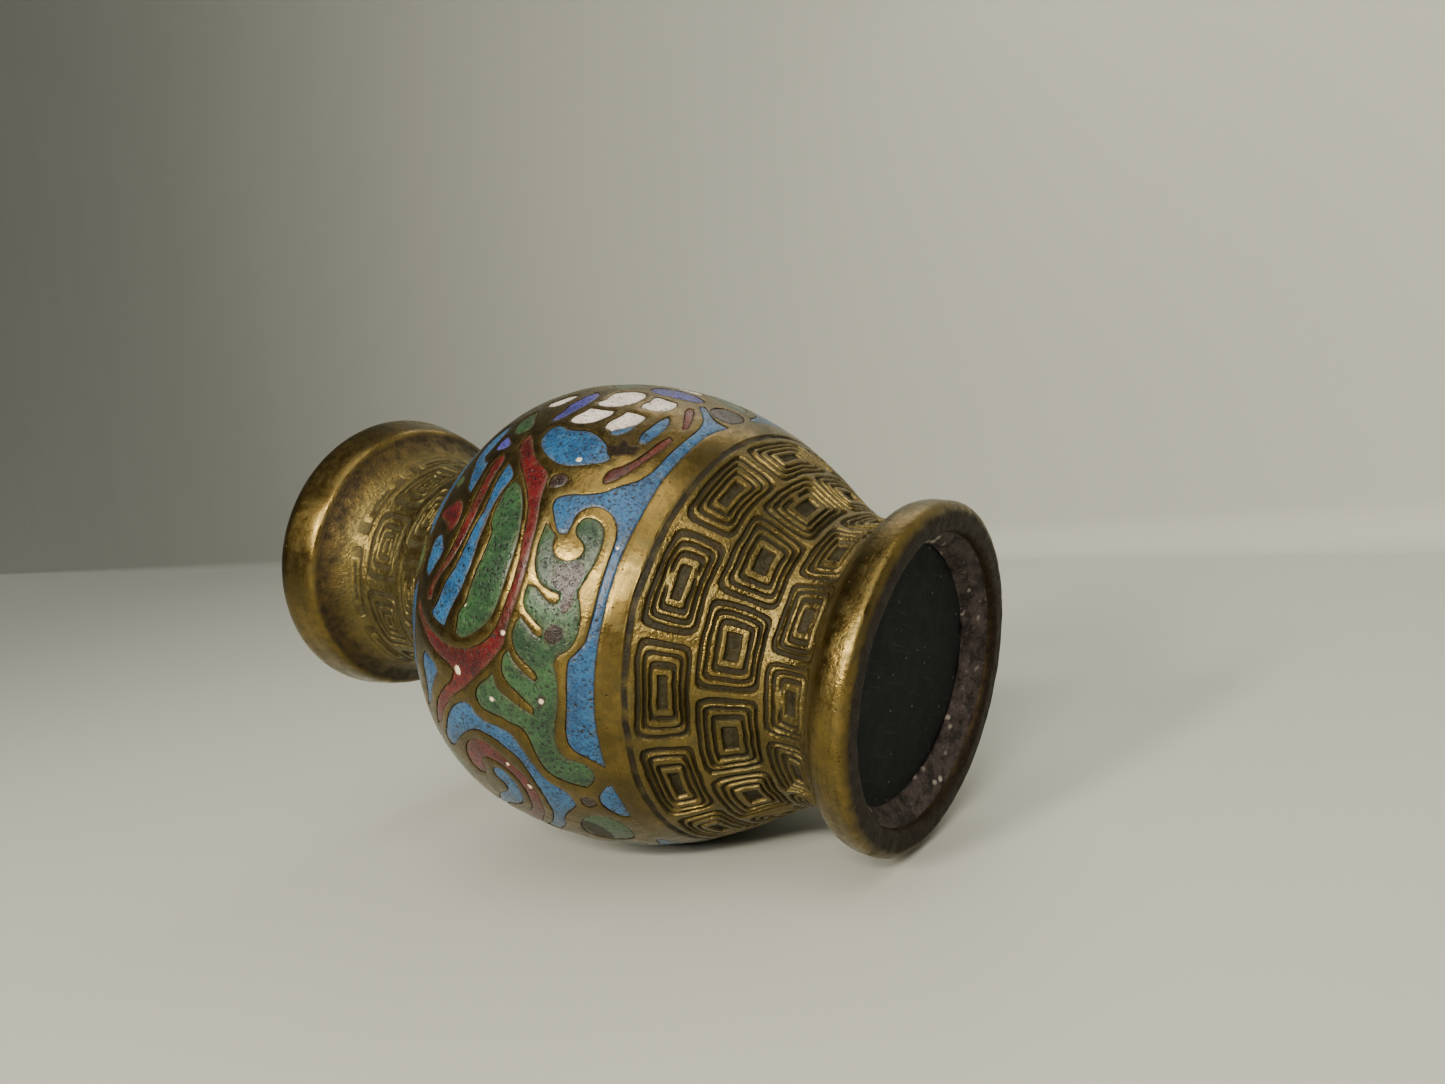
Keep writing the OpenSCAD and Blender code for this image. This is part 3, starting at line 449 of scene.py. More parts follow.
        (61.4, 43.2), (61.6, 42.1), (59.4, 40.9), (56, 40.4), (53, 40.7), (51, 41.5), (49.9, 42.8)]),
    "white_c": ("white", [(41, 38.6), (41.6, 39.8), (43.6, 40.1), (46.4, 39.7), (49.6, 39.6), (49.8, 38.2),
        (49.8, 36.6), (46.4, 36.5), (44, 37.2), (42.4, 37.9)]),
    "white_d": ("white", [(52.7, 38.7), (54.2, 39.3), (57, 39.2), (59.4, 39.7), (60.8, 39.3), (60.7, 37.8),
        (61, 36.4), (58.8, 35.7), (55.4, 35.8), (53.4, 36.7)]),
    "white_e": ("white", [(47.2, 52.4), (49, 53.1), (51, 52.2), (53.6, 51.6), (55, 50.6), (53, 50.2), (50, 50.4),
        (47.8, 51)]),
    "cob_a": ("cobalt", [(29.4, 53.6), (31.4, 54), (34.6, 53.7), (33.4, 52.7), (32, 51.7), (30.6, 51.8),
        (29.7, 52.7)]),
    "cob_b": ("cobalt", [(40.4, 48.4), (42.4, 48.6), (45, 48.5), (48.4, 48.9), (52, 48.8), (56, 48.9),
        (57.6, 48.4), (56, 47.3), (53, 46.5), (49.6, 46.3), (45.6, 46.6), (42, 47.3)]),
    "cob_c": ("cobalt", [(63, 39.4), (63.6, 41.2), (65.4, 42.8), (67.8, 43.2), (70.2, 42.2), (71.2, 39.8),
        (70.8, 37), (69.2, 35.2), (66.8, 35.4), (64.8, 36.8)]),
    "blue_low_d": ("sky_blue", [(74, 28.8), (84, 28.7), (94, 28.7), (102, 28.8), (102, 29.8), (98, 30.6),
        (94.4, 31.6), (91.4, 33.4), (88.6, 34.8), (86, 34), (83.6, 32.2), (80, 30.8), (76.4, 30.1), (74, 29.7)]),
    "blue_up_d": ("sky_blue", [(58, 54.6), (62, 53.2), (66, 52.8), (70, 53.3), (75, 53.9), (80, 54.3), (86, 54.7),
        (92, 54), (96, 53.3), (100, 54.4), (103, 56.6), (98, 57.6), (90.6, 57.9), (80, 57.9), (70, 57.4),
        (62, 56.9), (58, 56.1)]),
    "red_side": ("oxblood", [(74.4, 46.4), (77, 48.2), (80.4, 49.6), (84.4, 50), (88.4, 49.2), (91.6, 47.4),
        (94, 45.4), (97, 43.6), (100.4, 42.4), (101.4, 43.8), (98.8, 45.2), (96.2, 47.2), (93.4, 49.6),
        (89.6, 51.6), (84.8, 52.4), (80, 51.8), (76.2, 50.4), (73.6, 48.4)]),
    "green_side": ("green", [(76, 31.4), (79, 31.9), (82, 33.2), (84, 34.9), (86.5, 36.4), (89.5, 36.6),
        (92.5, 35.2), (95, 33.4), (98, 32.3), (101, 32.2), (102, 34), (101.6, 36.4), (99.6, 38.6), (96.6, 40.4),
        (93.4, 41.2), (90.6, 42.6), (88.6, 44.8), (86.4, 46.6), (83.6, 46.6), (81.6, 44.8), (80.6, 42.2),
        (79, 39.4), (76.8, 37), (75, 34.6), (74.8, 32.6)]),
    "green_knob": ("green", [(62.6, 47.5), (65, 49.4), (68, 50.2), (71, 49.6), (71.6, 47.6), (70, 45.8),
        (67, 45.1), (64, 45.7)]),
    "green_far": ("green", [(-60, 54.6), (-58, 53.2), (-55, 52.6), (-52.4, 53.4), (-49.6, 54.6), (-48, 56),
        (-50, 57.3), (-54, 57.2), (-58, 56.2)]),
    "cob_side": ("cobalt", [(97, 49.8), (99.6, 51.4), (102.4, 51.8), (103.8, 50.2), (103, 48), (101, 46.6),
        (98.8, 46.8), (97.2, 48.2)]),
    "white_side": ("white", [(72.8, 38.2), (73.4, 40.6), (75.2, 42.6), (77.4, 43.4), (78.8, 42.6), (78, 40.6),
        (76.2, 38.6), (74.4, 37.4)]),
    "aub_side": ("aubergine", [(92.4, 38), (93.8, 39), (95.8, 38.6), (97.4, 37.2), (97, 36), (95.4, 35.8),
        (93.6, 36.6)]),
}
RUYI = [(-2, 60.2), (0, 59.6), (2, 60.2), (4.6, 61.6), (7.6, 63.2), (9.4, 65.4), (9.2, 67.8), (6.4, 69.4), (0, 70.2),
        (-6.4, 69.4), (-9.2, 67.8), (-9.4, 65.4), (-7.6, 63.2), (-4.6, 61.6)]
BETWEEN = [(-18, 59.8), (-9, 59.4), (0, 59.2), (9, 59.4), (18, 59.8), (14, 62), (11.4, 64.8), (11, 67.6), (9.6, 70.2),
           (0, 71.6), (-9.6, 70.2), (-11, 67.6), (-11.4, 64.8), (-14, 62)]
DROP_GAP = [(0, 61.2), (3.6, 62.6), (5, 64.8), (3.8, 67), (0, 68.2), (-3.8, 67), (-5, 64.8), (-3.6, 62.6)]
DROP = [(0, 62.4), (2, 63.4), (2.8, 64.9), (2.2, 66.2), (0, 67), (-2.2, 66.2), (-2.8, 64.9), (-2, 63.4)]
INSET = {"aub_a": "green_main", "aub_b": "green_main"}
Z0, Z1 = 28.2, 72.6

# The band between Z0 and Z1 laid flat without changing its angles: t is the path length along the profile in radii
TZ = np.linspace(Z0, Z1, 4441)
_dt = np.sqrt(1 + curve(TZ, True) ** 2) / curve(TZ)
TT = np.concatenate([[0], np.cumsum((_dt[1:] + _dt[:-1]) / 2 * np.diff(TZ))])
TT -= TT[-1] / 2
t_of = lambda z: np.interp(z, TZ, TT)
z_of = lambda t: np.interp(t, TT, TZ)


def flat(th, z):
    """Angle in degrees and height to the plane of the triangulation."""
    e = np.exp(t_of(z))
    a = np.radians(th)
    return np.stack([e * np.cos(a), -e * np.sin(a)], -1)


def unflat(q):
    q = np.asarray(q, float)
    return np.degrees(np.arctan2(-q[:, 1], q[:, 0])), z_of(np.log(np.hypot(q[:, 0], q[:, 1])))


def spline(pts, step=0.43, bend=58):
    """Closed smooth outline through listed points (angle, height), with its sharp corners kept. Returns (n, 2) in
    (radians, t), evenly spaced in mm."""
    c = np.array([[math.radians(a), float(t_of(z))] for a, z in pts])
    n = len(c)
    e = np.roll(c, -1, 0) - c
    ang = np.arctan2(e[:, 1], e[:, 0])
    turn = np.abs((ang - np.roll(ang, 1) + math.pi) % (2 * math.pi) - math.pi)
    corner = turn > math.radians(bend)
    out = []
    for i in range(n):
        p0, p1, p2, p3 = c[i - 1], c[i], c[(i + 1) % n], c[(i + 2) % n]
        if corner[i]:
            p0 = 2 * p1 - p2
        if corner[(i + 1) % n]:
            p3 = 2 * p2 - p1
        k0 = 0.0
        k1 = k0 + np.linalg.norm(p1 - p0) ** 0.5 + 1e-9
        k2 = k1 + np.linalg.norm(p2 - p1) ** 0.5 + 1e-9
        k3 = k2 + np.linalg.norm(p3 - p2) ** 0.5 + 1e-9
        mm = np.linalg.norm(p2 - p1) * float(curve(z_of((p1[1] + p2[1]) / 2)))
        m = max(1, int(round(mm / step)))
        k = k1 + (k2 - k1) * (np.arange(m) / m)[:, None]
        a1 = (k1 - k) / (k1 - k0) * p0 + (k - k0) / (k1 - k0) * p1
        a2 = (k2 - k) / (k2 - k1) * p1 + (k - k1) / (k2 - k1) * p2
        a3 = (k3 - k) / (k3 - k2) * p2 + (k - k2) / (k3 - k2) * p3
        b1 = (k2 - k) / (k2 - k0) * a1 + (k - k0) / (k2 - k0) * a2
        b2 = (k3 - k) / (k3 - k1) * a2 + (k - k1) / (k3 - k1) * a3
        out.append((k2 - k) / (k2 - k1) * b1 + (k - k1) / (k2 - k1) * b2)
    return np.concatenate(out)


def area2(c):
    return float(np.sum(c[:, 0] * np.roll(c[:, 1], -1) - np.roll(c[:, 0], -1) * c[:, 1]))


def inside(q, poly):
    x, y = q[:, 0][:, None], q[:, 1][:, None]
    a, b = poly, np.roll(poly, -1, 0)
    cross = (a[:, 1] > y) != (b[:, 1] > y)
    with np.errstate(divide="ignore", invalid="ignore"):
        xi = a[:, 0] + (y - a[:, 1]) / (b[:, 1] - a[:, 1]) * (b[:, 0] - a[:, 0])
    return (np.sum(cross & (x < xi), 1) % 2) == 1


def offset(c, mm):
    """Points mm to the left of a counterclockwise outline in (radians, t)."""
    e = np.roll(c, -1, 0) - np.roll(c, 1, 0)
    nrm = np.stack([-e[:, 1], e[:, 0]], -1) / (np.linalg.norm(e, axis=1)[:, None] + 1e-12)
    return c + nrm * (mm / curve(z_of(c[:, 1])))[:, None]


def to3(c):
    return surf(np.degrees(c[:, 0]), z_of(c[:, 1]))


# every loop on the vase: name, colour, outline in (radians, t), counterclockwise
loops = []
for k in (0, 1):
    for name, (col, pts) in CELLS.items():
        c = spline(pts)
        if area2(c) < 0:
            c = c[::-1]
        loops.append([f"{name}.{k}", col, c + [math.pi * k, 0], INSET.get(name)])
for k in range(8):
    for nm, pts, col, at in (("head", RUYI, "green" if k % 2 == 0 else "oxblood", k), ("gap", BETWEEN, "sky_blue", k + 0.5),
                             ("drop_gap", DROP_GAP, None, k + 0.5), ("drop", DROP, "white", k + 0.5)):
        c = spline(pts)
        if area2(c) < 0:
            c = c[::-1]
        loops.append([f"{nm}.{k}", col, c + [math.radians(45 * at), 0], None])

# outline points for distances
dense = []
for nm, col, c, ins in loops:
    d = np.roll(c, -1, 0)
    dense.append(np.concatenate([c + (d - c) * s for s in (0, 0.25, 0.5, 0.75)]))
dense = to3(np.concatenate(dense))
tree = kdtree.KDTree(len(dense))
for i, p in enumerate(dense):
    tree.insert(p, i)
tree.balance()
gap_to = lambda p: np.array([tree.find(Vector(x))[2] for x in p]) if len(p) else np.zeros(0)


def hexgrid(c0, c1, step_mm):
    """Staggered points in (radians, t) covering a box, step_mm apart on the surface."""
    out = []
    t, row = c0[1], 0
    while t < c1[1]:
        r = float(curve(z_of(t)))
        s = step_mm / r
        n = max(1, int(math.ceil((c1[0] - c0[0]) / s)))
        th = c0[0] + (np.arange(n) + 0.5 * (row % 2)) * s
        out.append(np.stack([th, np.full(n, t)], -1))
        t += s * 0.866
        row += 1
    return np.concatenate(out)


def cdt(points, faces, kind):
    res = delaunay_2d_cdt([Vector((float(x), float(y))) for x, y in points], [], faces, kind, 1e-7, True)
    return np.array([[v.x, v.y] for v in res[0]]), res[2], res[3], res[5]


# ---------------------------------------------------------------- the metal between the cells
outer_loops = [l for l in loops if not l[3]]
ring_up = ring(Z1, TH_UP, -0.02, tone=0.45)
pts, faces_in, kinds = [], [], []


def put(q, kind):
    pts.append(q)
    kinds.extend([kind] * len(q))
    return list(range(len(kinds) - len(q), len(kinds)))


faces_in.append(put(flat(TH_UP, np.full(NUP, Z1)), 3)[::-1])
faces_in.append(put(flat(TH_LOW, np.full(NLOW, Z0)), 2)[::-1])
for nm, col, c, ins in outer_loops:
    faces_in.append(put(flat(np.degrees(c[:, 0]), z_of(c[:, 1])), 0))
NEAR = 0.2
extra = []
for nm, col, c, ins in outer_loops:
    side = NEAR if nm.startswith("drop_gap") else -NEAR
    o = offset(c, side)
    o = o[(o[:, 1] > TT[0] + 0.01) & (o[:, 1] < TT[-1] - 0.01)]
    if len(o):
        extra.append(o[gap_to(to3(o)) > NEAR - 0.03])
fill = hexgrid((-math.pi, TT[0] + 0.012), (math.pi, TT[-1] - 0.012), 1.1)
far = gap_to(to3(fill)) > 0.42
fill = fill[far]
fq = flat(np.degrees(fill[:, 0]), z_of(fill[:, 1]))
covered = np.zeros(len(fill), bool)
for nm, col, c, ins in outer_loops:
    if nm.startswith("drop_gap"):
        continue
    lo, hi = c.min(0), c.max(0)
    dth = (fill[:, 0] - (lo[0] + hi[0]) / 2 + math.pi) % (2 * math.pi) - math.pi + (lo[0] + hi[0]) / 2
    near = np.nonzero((dth > lo[0]) & (dth < hi[0]) & (fill[:, 1] > lo[1]) & (fill[:, 1] < hi[1]))[0]
    if len(near):
        covered[near[inside(np.stack([dth[near], fill[near, 1]], -1), c)]] = True
for nm, col, c, ins in outer_loops:  # the metal around each white drop lies within its gap
    if nm.startswith("drop_gap"):
        lo, hi = c.min(0), c.max(0)
        dth = (fill[:, 0] - (lo[0] + hi[0]) / 2 + math.pi) % (2 * math.pi) - math.pi + (lo[0] + hi[0]) / 2
        near = np.nonzero((dth > lo[0]) & (dth < hi[0]) & (fill[:, 1] > lo[1]) & (fill[:, 1] < hi[1]))[0]
        if len(near):
            covered[near[inside(np.stack([dth[near], fill[near, 1]], -1), c)]] = False
extra = np.concatenate(extra)
put(flat(np.degrees(extra[:, 0]), z_of(extra[:, 1])), 1)
put(flat(np.degrees(fill[~covered][:, 0]), z_of(fill[~covered][:, 1])), 4)
q, tris, orig, tri_of = cdt(np.concatenate(pts), faces_in, 0)
kinds = np.array(kinds)
kind_of = np.array([kinds[o[0]] if o else 0 for o in orig])
names_in = ["up", "low"] + [l[0] for l in outer_loops]


def what(faces):
    """'out', 'metal' or 'cell' for a triangle inside these input faces."""
    s = set(faces)
    if 0 not in s or 1 in s:
        return 0
    s -= {0}
    nm = {names_in[i].split(".")[0] for i in s}
    if not nm:
        return 1
    if "drop" in nm:
        return 2
    if "drop_gap" in nm:
        return 1
    return 2


cls = np.array([what(f) for f in tri_of])
th_q, z_q = unflat(q)
pq = surf(th_q, z_q)
lift = 0.035 * noise3(pq, 2.6, 41) + 0.02 * noise3(pq, 0.9, 42) - 0.025
hh = np.select([kind_of == 0, kind_of == 1, kind_of == 2, kind_of == 3], [-0.075, -0.01, -0.01, -0.02], 0.0) + np.where(
    np.isin(kind_of, (2, 3)), 0, lift)
edge_d = np.where(kind_of == 0, 0.0, 1.0)
top_ids = np.full(len(q), -1)
used = np.unique(np.array([v for t, k in zip(tris, cls) if k == 1 for v in t]))
ring_of = {}
for i, o in enumerate(orig):
    for s in o:
        if s < NUP:
            ring_of[i] = ring_up[s]
        elif s < NUP + NLOW:
            ring_of[i] = ring_low[s - NUP]
fresh = np.array([i for i in used if i not in ring_of])
tone_q = 0.12 + 0.3 * smooth(z_q, 60, 72)
top_ids[fresh] = body.add(surf(th_q[fresh], z_q[fresh], hh[fresh]), line=np.where(kind_of[fresh] == 0, 0.8, 0.0),
                          tone=tone_q[fresh])
for i, v in ring_of.items():
    top_ids[i] = v
floor_v = np.unique(np.array([v for t, k in zip(tris, cls) if k == 2 for v in t]))
low_ids = np.full(len(q), -1)
low_ids[floor_v] = body.add(surf(th_q[floor_v], z_q[floor_v], -0.6), cav=1.0, line=0.6, tone=0.3)
flip = None
edges = {}
for t, k in zip(tris, cls):
    if k == 0:
        continue
    t = list(t)
    if flip is None:
        a, b, c_ = (surf(th_q[t], z_q[t])[i] for i in range(3))
        flip = np.dot(np.cross(b - a, c_ - a), (a * [1, 1, 0])) < 0
    if flip:
        t = t[::-1]
    ids = top_ids if k == 1 else low_ids
    body.f.append(tuple(int(ids[v]) for v in t))
    for i in range(len(t)):
        edges[(t[i], t[(i + 1) % len(t)])] = k
walls = 0
for (a, b), k in edges.items():
    if k == 1 and edges.get((b, a)) == 2:
        body.f.append((int(top_ids[b]), int(top_ids[a]), int(low_ids[a]), int(low_ids[b])))
        walls += 1
print("zone", len(q), "points", int((cls == 1).sum()), "metal", int((cls == 2).sum()), "floor", walls, "walls",
      "two cells", sum(1 for f in tri_of if len({names_in[i] for i in f} - {"up", "low"}) > 1 and not any(
          names_in[i].startswith(("gap", "drop")) for i in f)))
# ---------------------------------------------------------------- neck, lip, inside and foot of the bronze
TONE[0] = 0.6
WARP = [0.22, 73.0, 90.6]
neck_fade = lambda z: smooth(z, 73.4, 75.6) * (1 - smooth(z, 87.8, 90.0))
n0 = ring(73.1, TH_UP, -0.02, tone=0.6)
body.quads(ring_up, n0)
n1 = fret_ring(73.8, TH_UP)
body.quads(n0, n1)
n2 = fret_ring(80.0, TH_UP)
n3 = fret_ring(87.4, TH_UP)
# cav and dark on this ring start the painted shade under the lip's flare
n4 = ring(90.0, TH_UP, cav=0.3, tone=0.7, dark=0.25)
fret(body, n1, n2, TH_UP, 73.8, 80.0, 8, 10, 20, 6, [2.4, 4.8, 7.4, 9.8, 12.6, 15.8, 19.6],
     [0.25, 0.65, 0.95, 1.38, 1.7, 2.15, 2.6], [0.25, 0.65, 0.95, 1.38, 1.7, 2.15, 2.6], 76.9, 0.3, 0.85, neck_fade, 51,
     [(25, 78.3, 2, 0.3), (-70, 75.8, 2, 0.3), (160, 78, 3, 0.3)], 0.35)
fret(body, n2, n3, TH_UP, 80.0, 87.4, 8, 0, 20, 8, [2.6, 4.8, 7.6, 10.2, 13.0, 15.9, 19.6],
     [0.34, 0.82, 1.14, 1.62, 2.0, 2.5, 3.05], [0.34, 0.82, 1.14, 1.62, 2.0, 2.5, 3.05], 83.7, 0.3, 0.85, neck_fade, 52,
     [(1, 85.5, 2, 0.3), (48, 82.2, 2.5, 0.3), (-88, 85.4, 2, 0.3), (135, 81.9, 3, 0.3)], 0.35)
fret(body, n3, n4, TH_UP, 87.4, 90.0, 8, 10, 20, 4, [9.6, 13, 19.4], [0.22, 0.55, 0.9], [0.22, 0.55, 0.9], 88.6, 0.26, 0.7,
     neck_fade, 53, [], 0.3)
last = n4
# Flare and lip: the raised cav and dark from 90.6 to 93.2 mm paint shade under the lip; the lip's top edge is a little
# darker
for z, cav, dark, tone in [(90.6, 0.2, 0.4, 0.4), (91.2, 0.15, 0.52, 0.25), (91.8, 0.1, 0.58, 0.15), (92.4, 0.1, 0.6, 0.1),
                           (92.8, 0.3, 0.62, 0.1), (93.0, 0.3, 0.5, 0), (93.22, 0, 0.15, 0), (93.45, 0, 0, 0), (94, 0, 0, 0),
                           (95, 0, 0, 0), (96, 0, 0, 0), (97, 0, 0, 0), (98, 0, 0, 0), (98.6, 0, 0.05, 0),
                           (99.1, 0, 0.1, 0), (99.4, 0, 0.15, 0), (99.65, 0, 0.15, 0), (99.85, 0, 0.1, 0)]:
    p = surf(TH_UP, np.full(NUP, z))
    h = (0.03 * noise3(p, 3.5, 61) + 0.02 * noise3(p, 1.4, 62) - 0.035) * (1 if z < 99 else 0.5)
    r_ = ring(z, TH_UP, h, cav=cav, dark=dark, tone=tone)
    body.quads(last, r_)
    last = r_


def knots(z):
    return np.interp(z, PZ, PR)


def inner(z, d=2.4):
    s = knots(z + 0.5) - knots(z - 0.5)
    return float(knots(z) - d * math.sqrt(1 + s * s))


down = [(21.55, 99.99), (21.2, 99.97), (20.85, 99.86), (20.5, 99.66), (20.2, 99.3), (20, 98.9), (19.7, 98), (19.4, 97),
        (18.85, 95.5), (18.2, 94), (17.3, 92.5), (16.4, 91), (15.45, 89.5), (14.6, 88), (14, 86.5), (13.6, 85), (13.6, 82.5),
        (13.6, 80), (13.7, 77)]
for z in (74, 71, 68, 65, 62, 59, 56, 52, 48, 44, 40, 36, 32, 29, 26, 23, 20, 17, 14, 12, 10):
    down.append((inner(z), z))
down += [(inner(10), 7), (inner(10), 4.75), (inner(10) + 0.15, 4.45)]
for r, z in down:
    p = surf(TH_UP, np.full(NUP, z)) * [r / float(curve(z)), r / float(curve(z)), 1]
    # cav and dark rise with depth into the mouth: painted shade inside the vase
    deep = float(smooth(97 - z, 0, 12))
    lump = (0.05 + 0.16 * deep) * noise3(p, 3.2, 63) + 0.06 * deep * noise3(p, 1.3, 64)
    rr = r + lump * smooth(99.6 - z, 0, 2) - 0.06
    r_ = ring_rz(rr, z, TH_UP, cav=0.15 + 0.6 * deep, dark=0.12 + 0.55 * deep, tone=0.1 + 0.3 * deep, line=0.0)
    body.quads(last, r_)
    last = r_
# ledge over the base plate, recess wall and the foot's lower face, on the lower body's columns
s_ = ring_rz(17.0, 4.42, TH_LOW, cav=0.8, dark=0.8)
body.zip(last, TH_UP, s_, TH_LOW)
last = s_
for r, z, dark in [(17.9, 4.42, 0.8), (18.01, 4.3, 0.8), (18.01, 3.4, 0.8), (18.01, 2.4, 0.7), (18.01, 1.5, 0.7),
                   (18.02, 0.95, 0.6), (18.08, 0.55, 0.8), (18.25, 0.25, 0.8), (18.5, 0.08, 0.8), (18.85, 0.0, 0.85),
                   (19.4, 0.0, 1.0), (20.0, 0.0, 0.95), (20.45, 0.0, 0.7), (20.75, 0.05, 0.5), (21.05, 0.2, 0.32)]:
    p = np.stack([r * np.sin(np.radians(TH_LOW)), -r * np.cos(np.radians(TH_LOW)), np.full(NLOW, z)], -1)
    n_ = noise3(p, 2.6, 71) + 0.6 * noise3(p, 1.1, 72)
    rr = r + (0.22 * np.clip(n_, 0, 1) if 0.06 < z < 0.9 and r < 18.6 else 0.0)
    zz = z + (0.07 * np.clip(noise3(p, 2.2, 73), 0, 1) + 0.06 * np.clip(noise3(p, 1.0, 74), 0, 1) if z < 0.3 else 0.0)
    t = np.radians(TH_LOW)
    r_ = body.add(np.stack([rr * np.sin(t), -rr * np.cos(t), zz + 0 * t], -1), dark=dark, cav=0.25, line=0.1)
    body.quads(last, r_)
    last = r_
# Outside of the foot: dark brown along the bottom edge; the raised cav, dark and line from 4.95 mm up into the waist
# paint shadow in the groove above the foot
for z, h, cav, dark, line in [(0.45, 0, 0, 0.22, 0), (0.8, 0, 0, 0.12, 0), (1.2, 0, 0, 0.05, 0), (1.8, 0, 0, 0, 0),
                              (2.5, 0, 0, 0, 0), (3.2, 0, 0, 0, 0), (3.8, 0, 0, 0.02, 0), (4.3, 0, 0.05, 0.08, 0),
                              (4.65, 0, 0.2, 0.15, 0), (4.95, 0, 0.5, 0.3, 0.3), (5.15, 0, 0.7, 0.4, 0.7),
                              (5.4, 0, 0.7, 0.4, 0.5), (5.8, 0, 0.6, 0.3, 0.2)]:
    p = surf(TH_LOW, np.full(NLOW, z))
    hh_ = h - 0.03 + 0.03 * noise3(p, 3.4, 75) + 0.02 * noise3(p, 1.2, 76)
    r_ = ring(z, TH_LOW, hh_, cav=cav, dark=dark + 0.1 * np.clip(noise3(p, 2, 77), 0, 1), line=line, tone=0.12)
    body.quads(last, r_)
    last = r_
body.quads(last, r_63)

# ---------------------------------------------------------------- enamel
# Places where the glass is damaged on the front: angle, height, radius in mm and depth in mm
CHIPS = [(-22.6, 48.0, 0.6, 0.16), (-11.5, 40.6, 0.34, 0.1), (-27, 42.4, 0.32, 0.1), (-44.3, 42.4, 0.3, 0.1),
         (-50.5, 40.4, 0.38, 0.12), (-7.8, 47.3, 0.26, 0.08), (3.5, 46.3, 0.34, 0.1), (30.3, 39.3, 0.42, 0.14),
         (-25.2, 35.2, 0.35, 0.1), (56, 44.4, 0.25, 0.08), (-62, 50.2, 0.3, 0.1), (12.5, 29.4, 0.22, 0.08)]
LOSS = np.array([(33.4, 35.2), (34.5, 36.6), (36, 37.2), (37.5, 36.6), (39.5, 35.5), (39.8, 34.3), (39, 33.6), (37, 33.7),
                 (35, 34.4)], float)
SOIL = [(8.0, 47.6, 12, 0.5), (16.5, 47.2, 5, 0.5), (-25, 35.2, 2.4, 0.6), (13.5, 49.0, 2.2, 0.5), (36.5, 35.6, 3.6, 1.9),
        (-68.8, 35.4, 8.0, 2.0)]


def enamel_height(c, gap, flush):
    """Height of the glass over a point, from how far the point is from metal (gap)."""
    p = to3(c)
    h = -0.075 - 0.1 * (1 - smooth(gap, 0, 0.2)) - 0.035 * (1 - smooth(gap, 0.1, 0.55))
    h = h + 0.035 * noise3(p, 2.2, 81) + 0.018 * noise3(p, 0.8, 82)
    return np.minimum(h, -0.02)


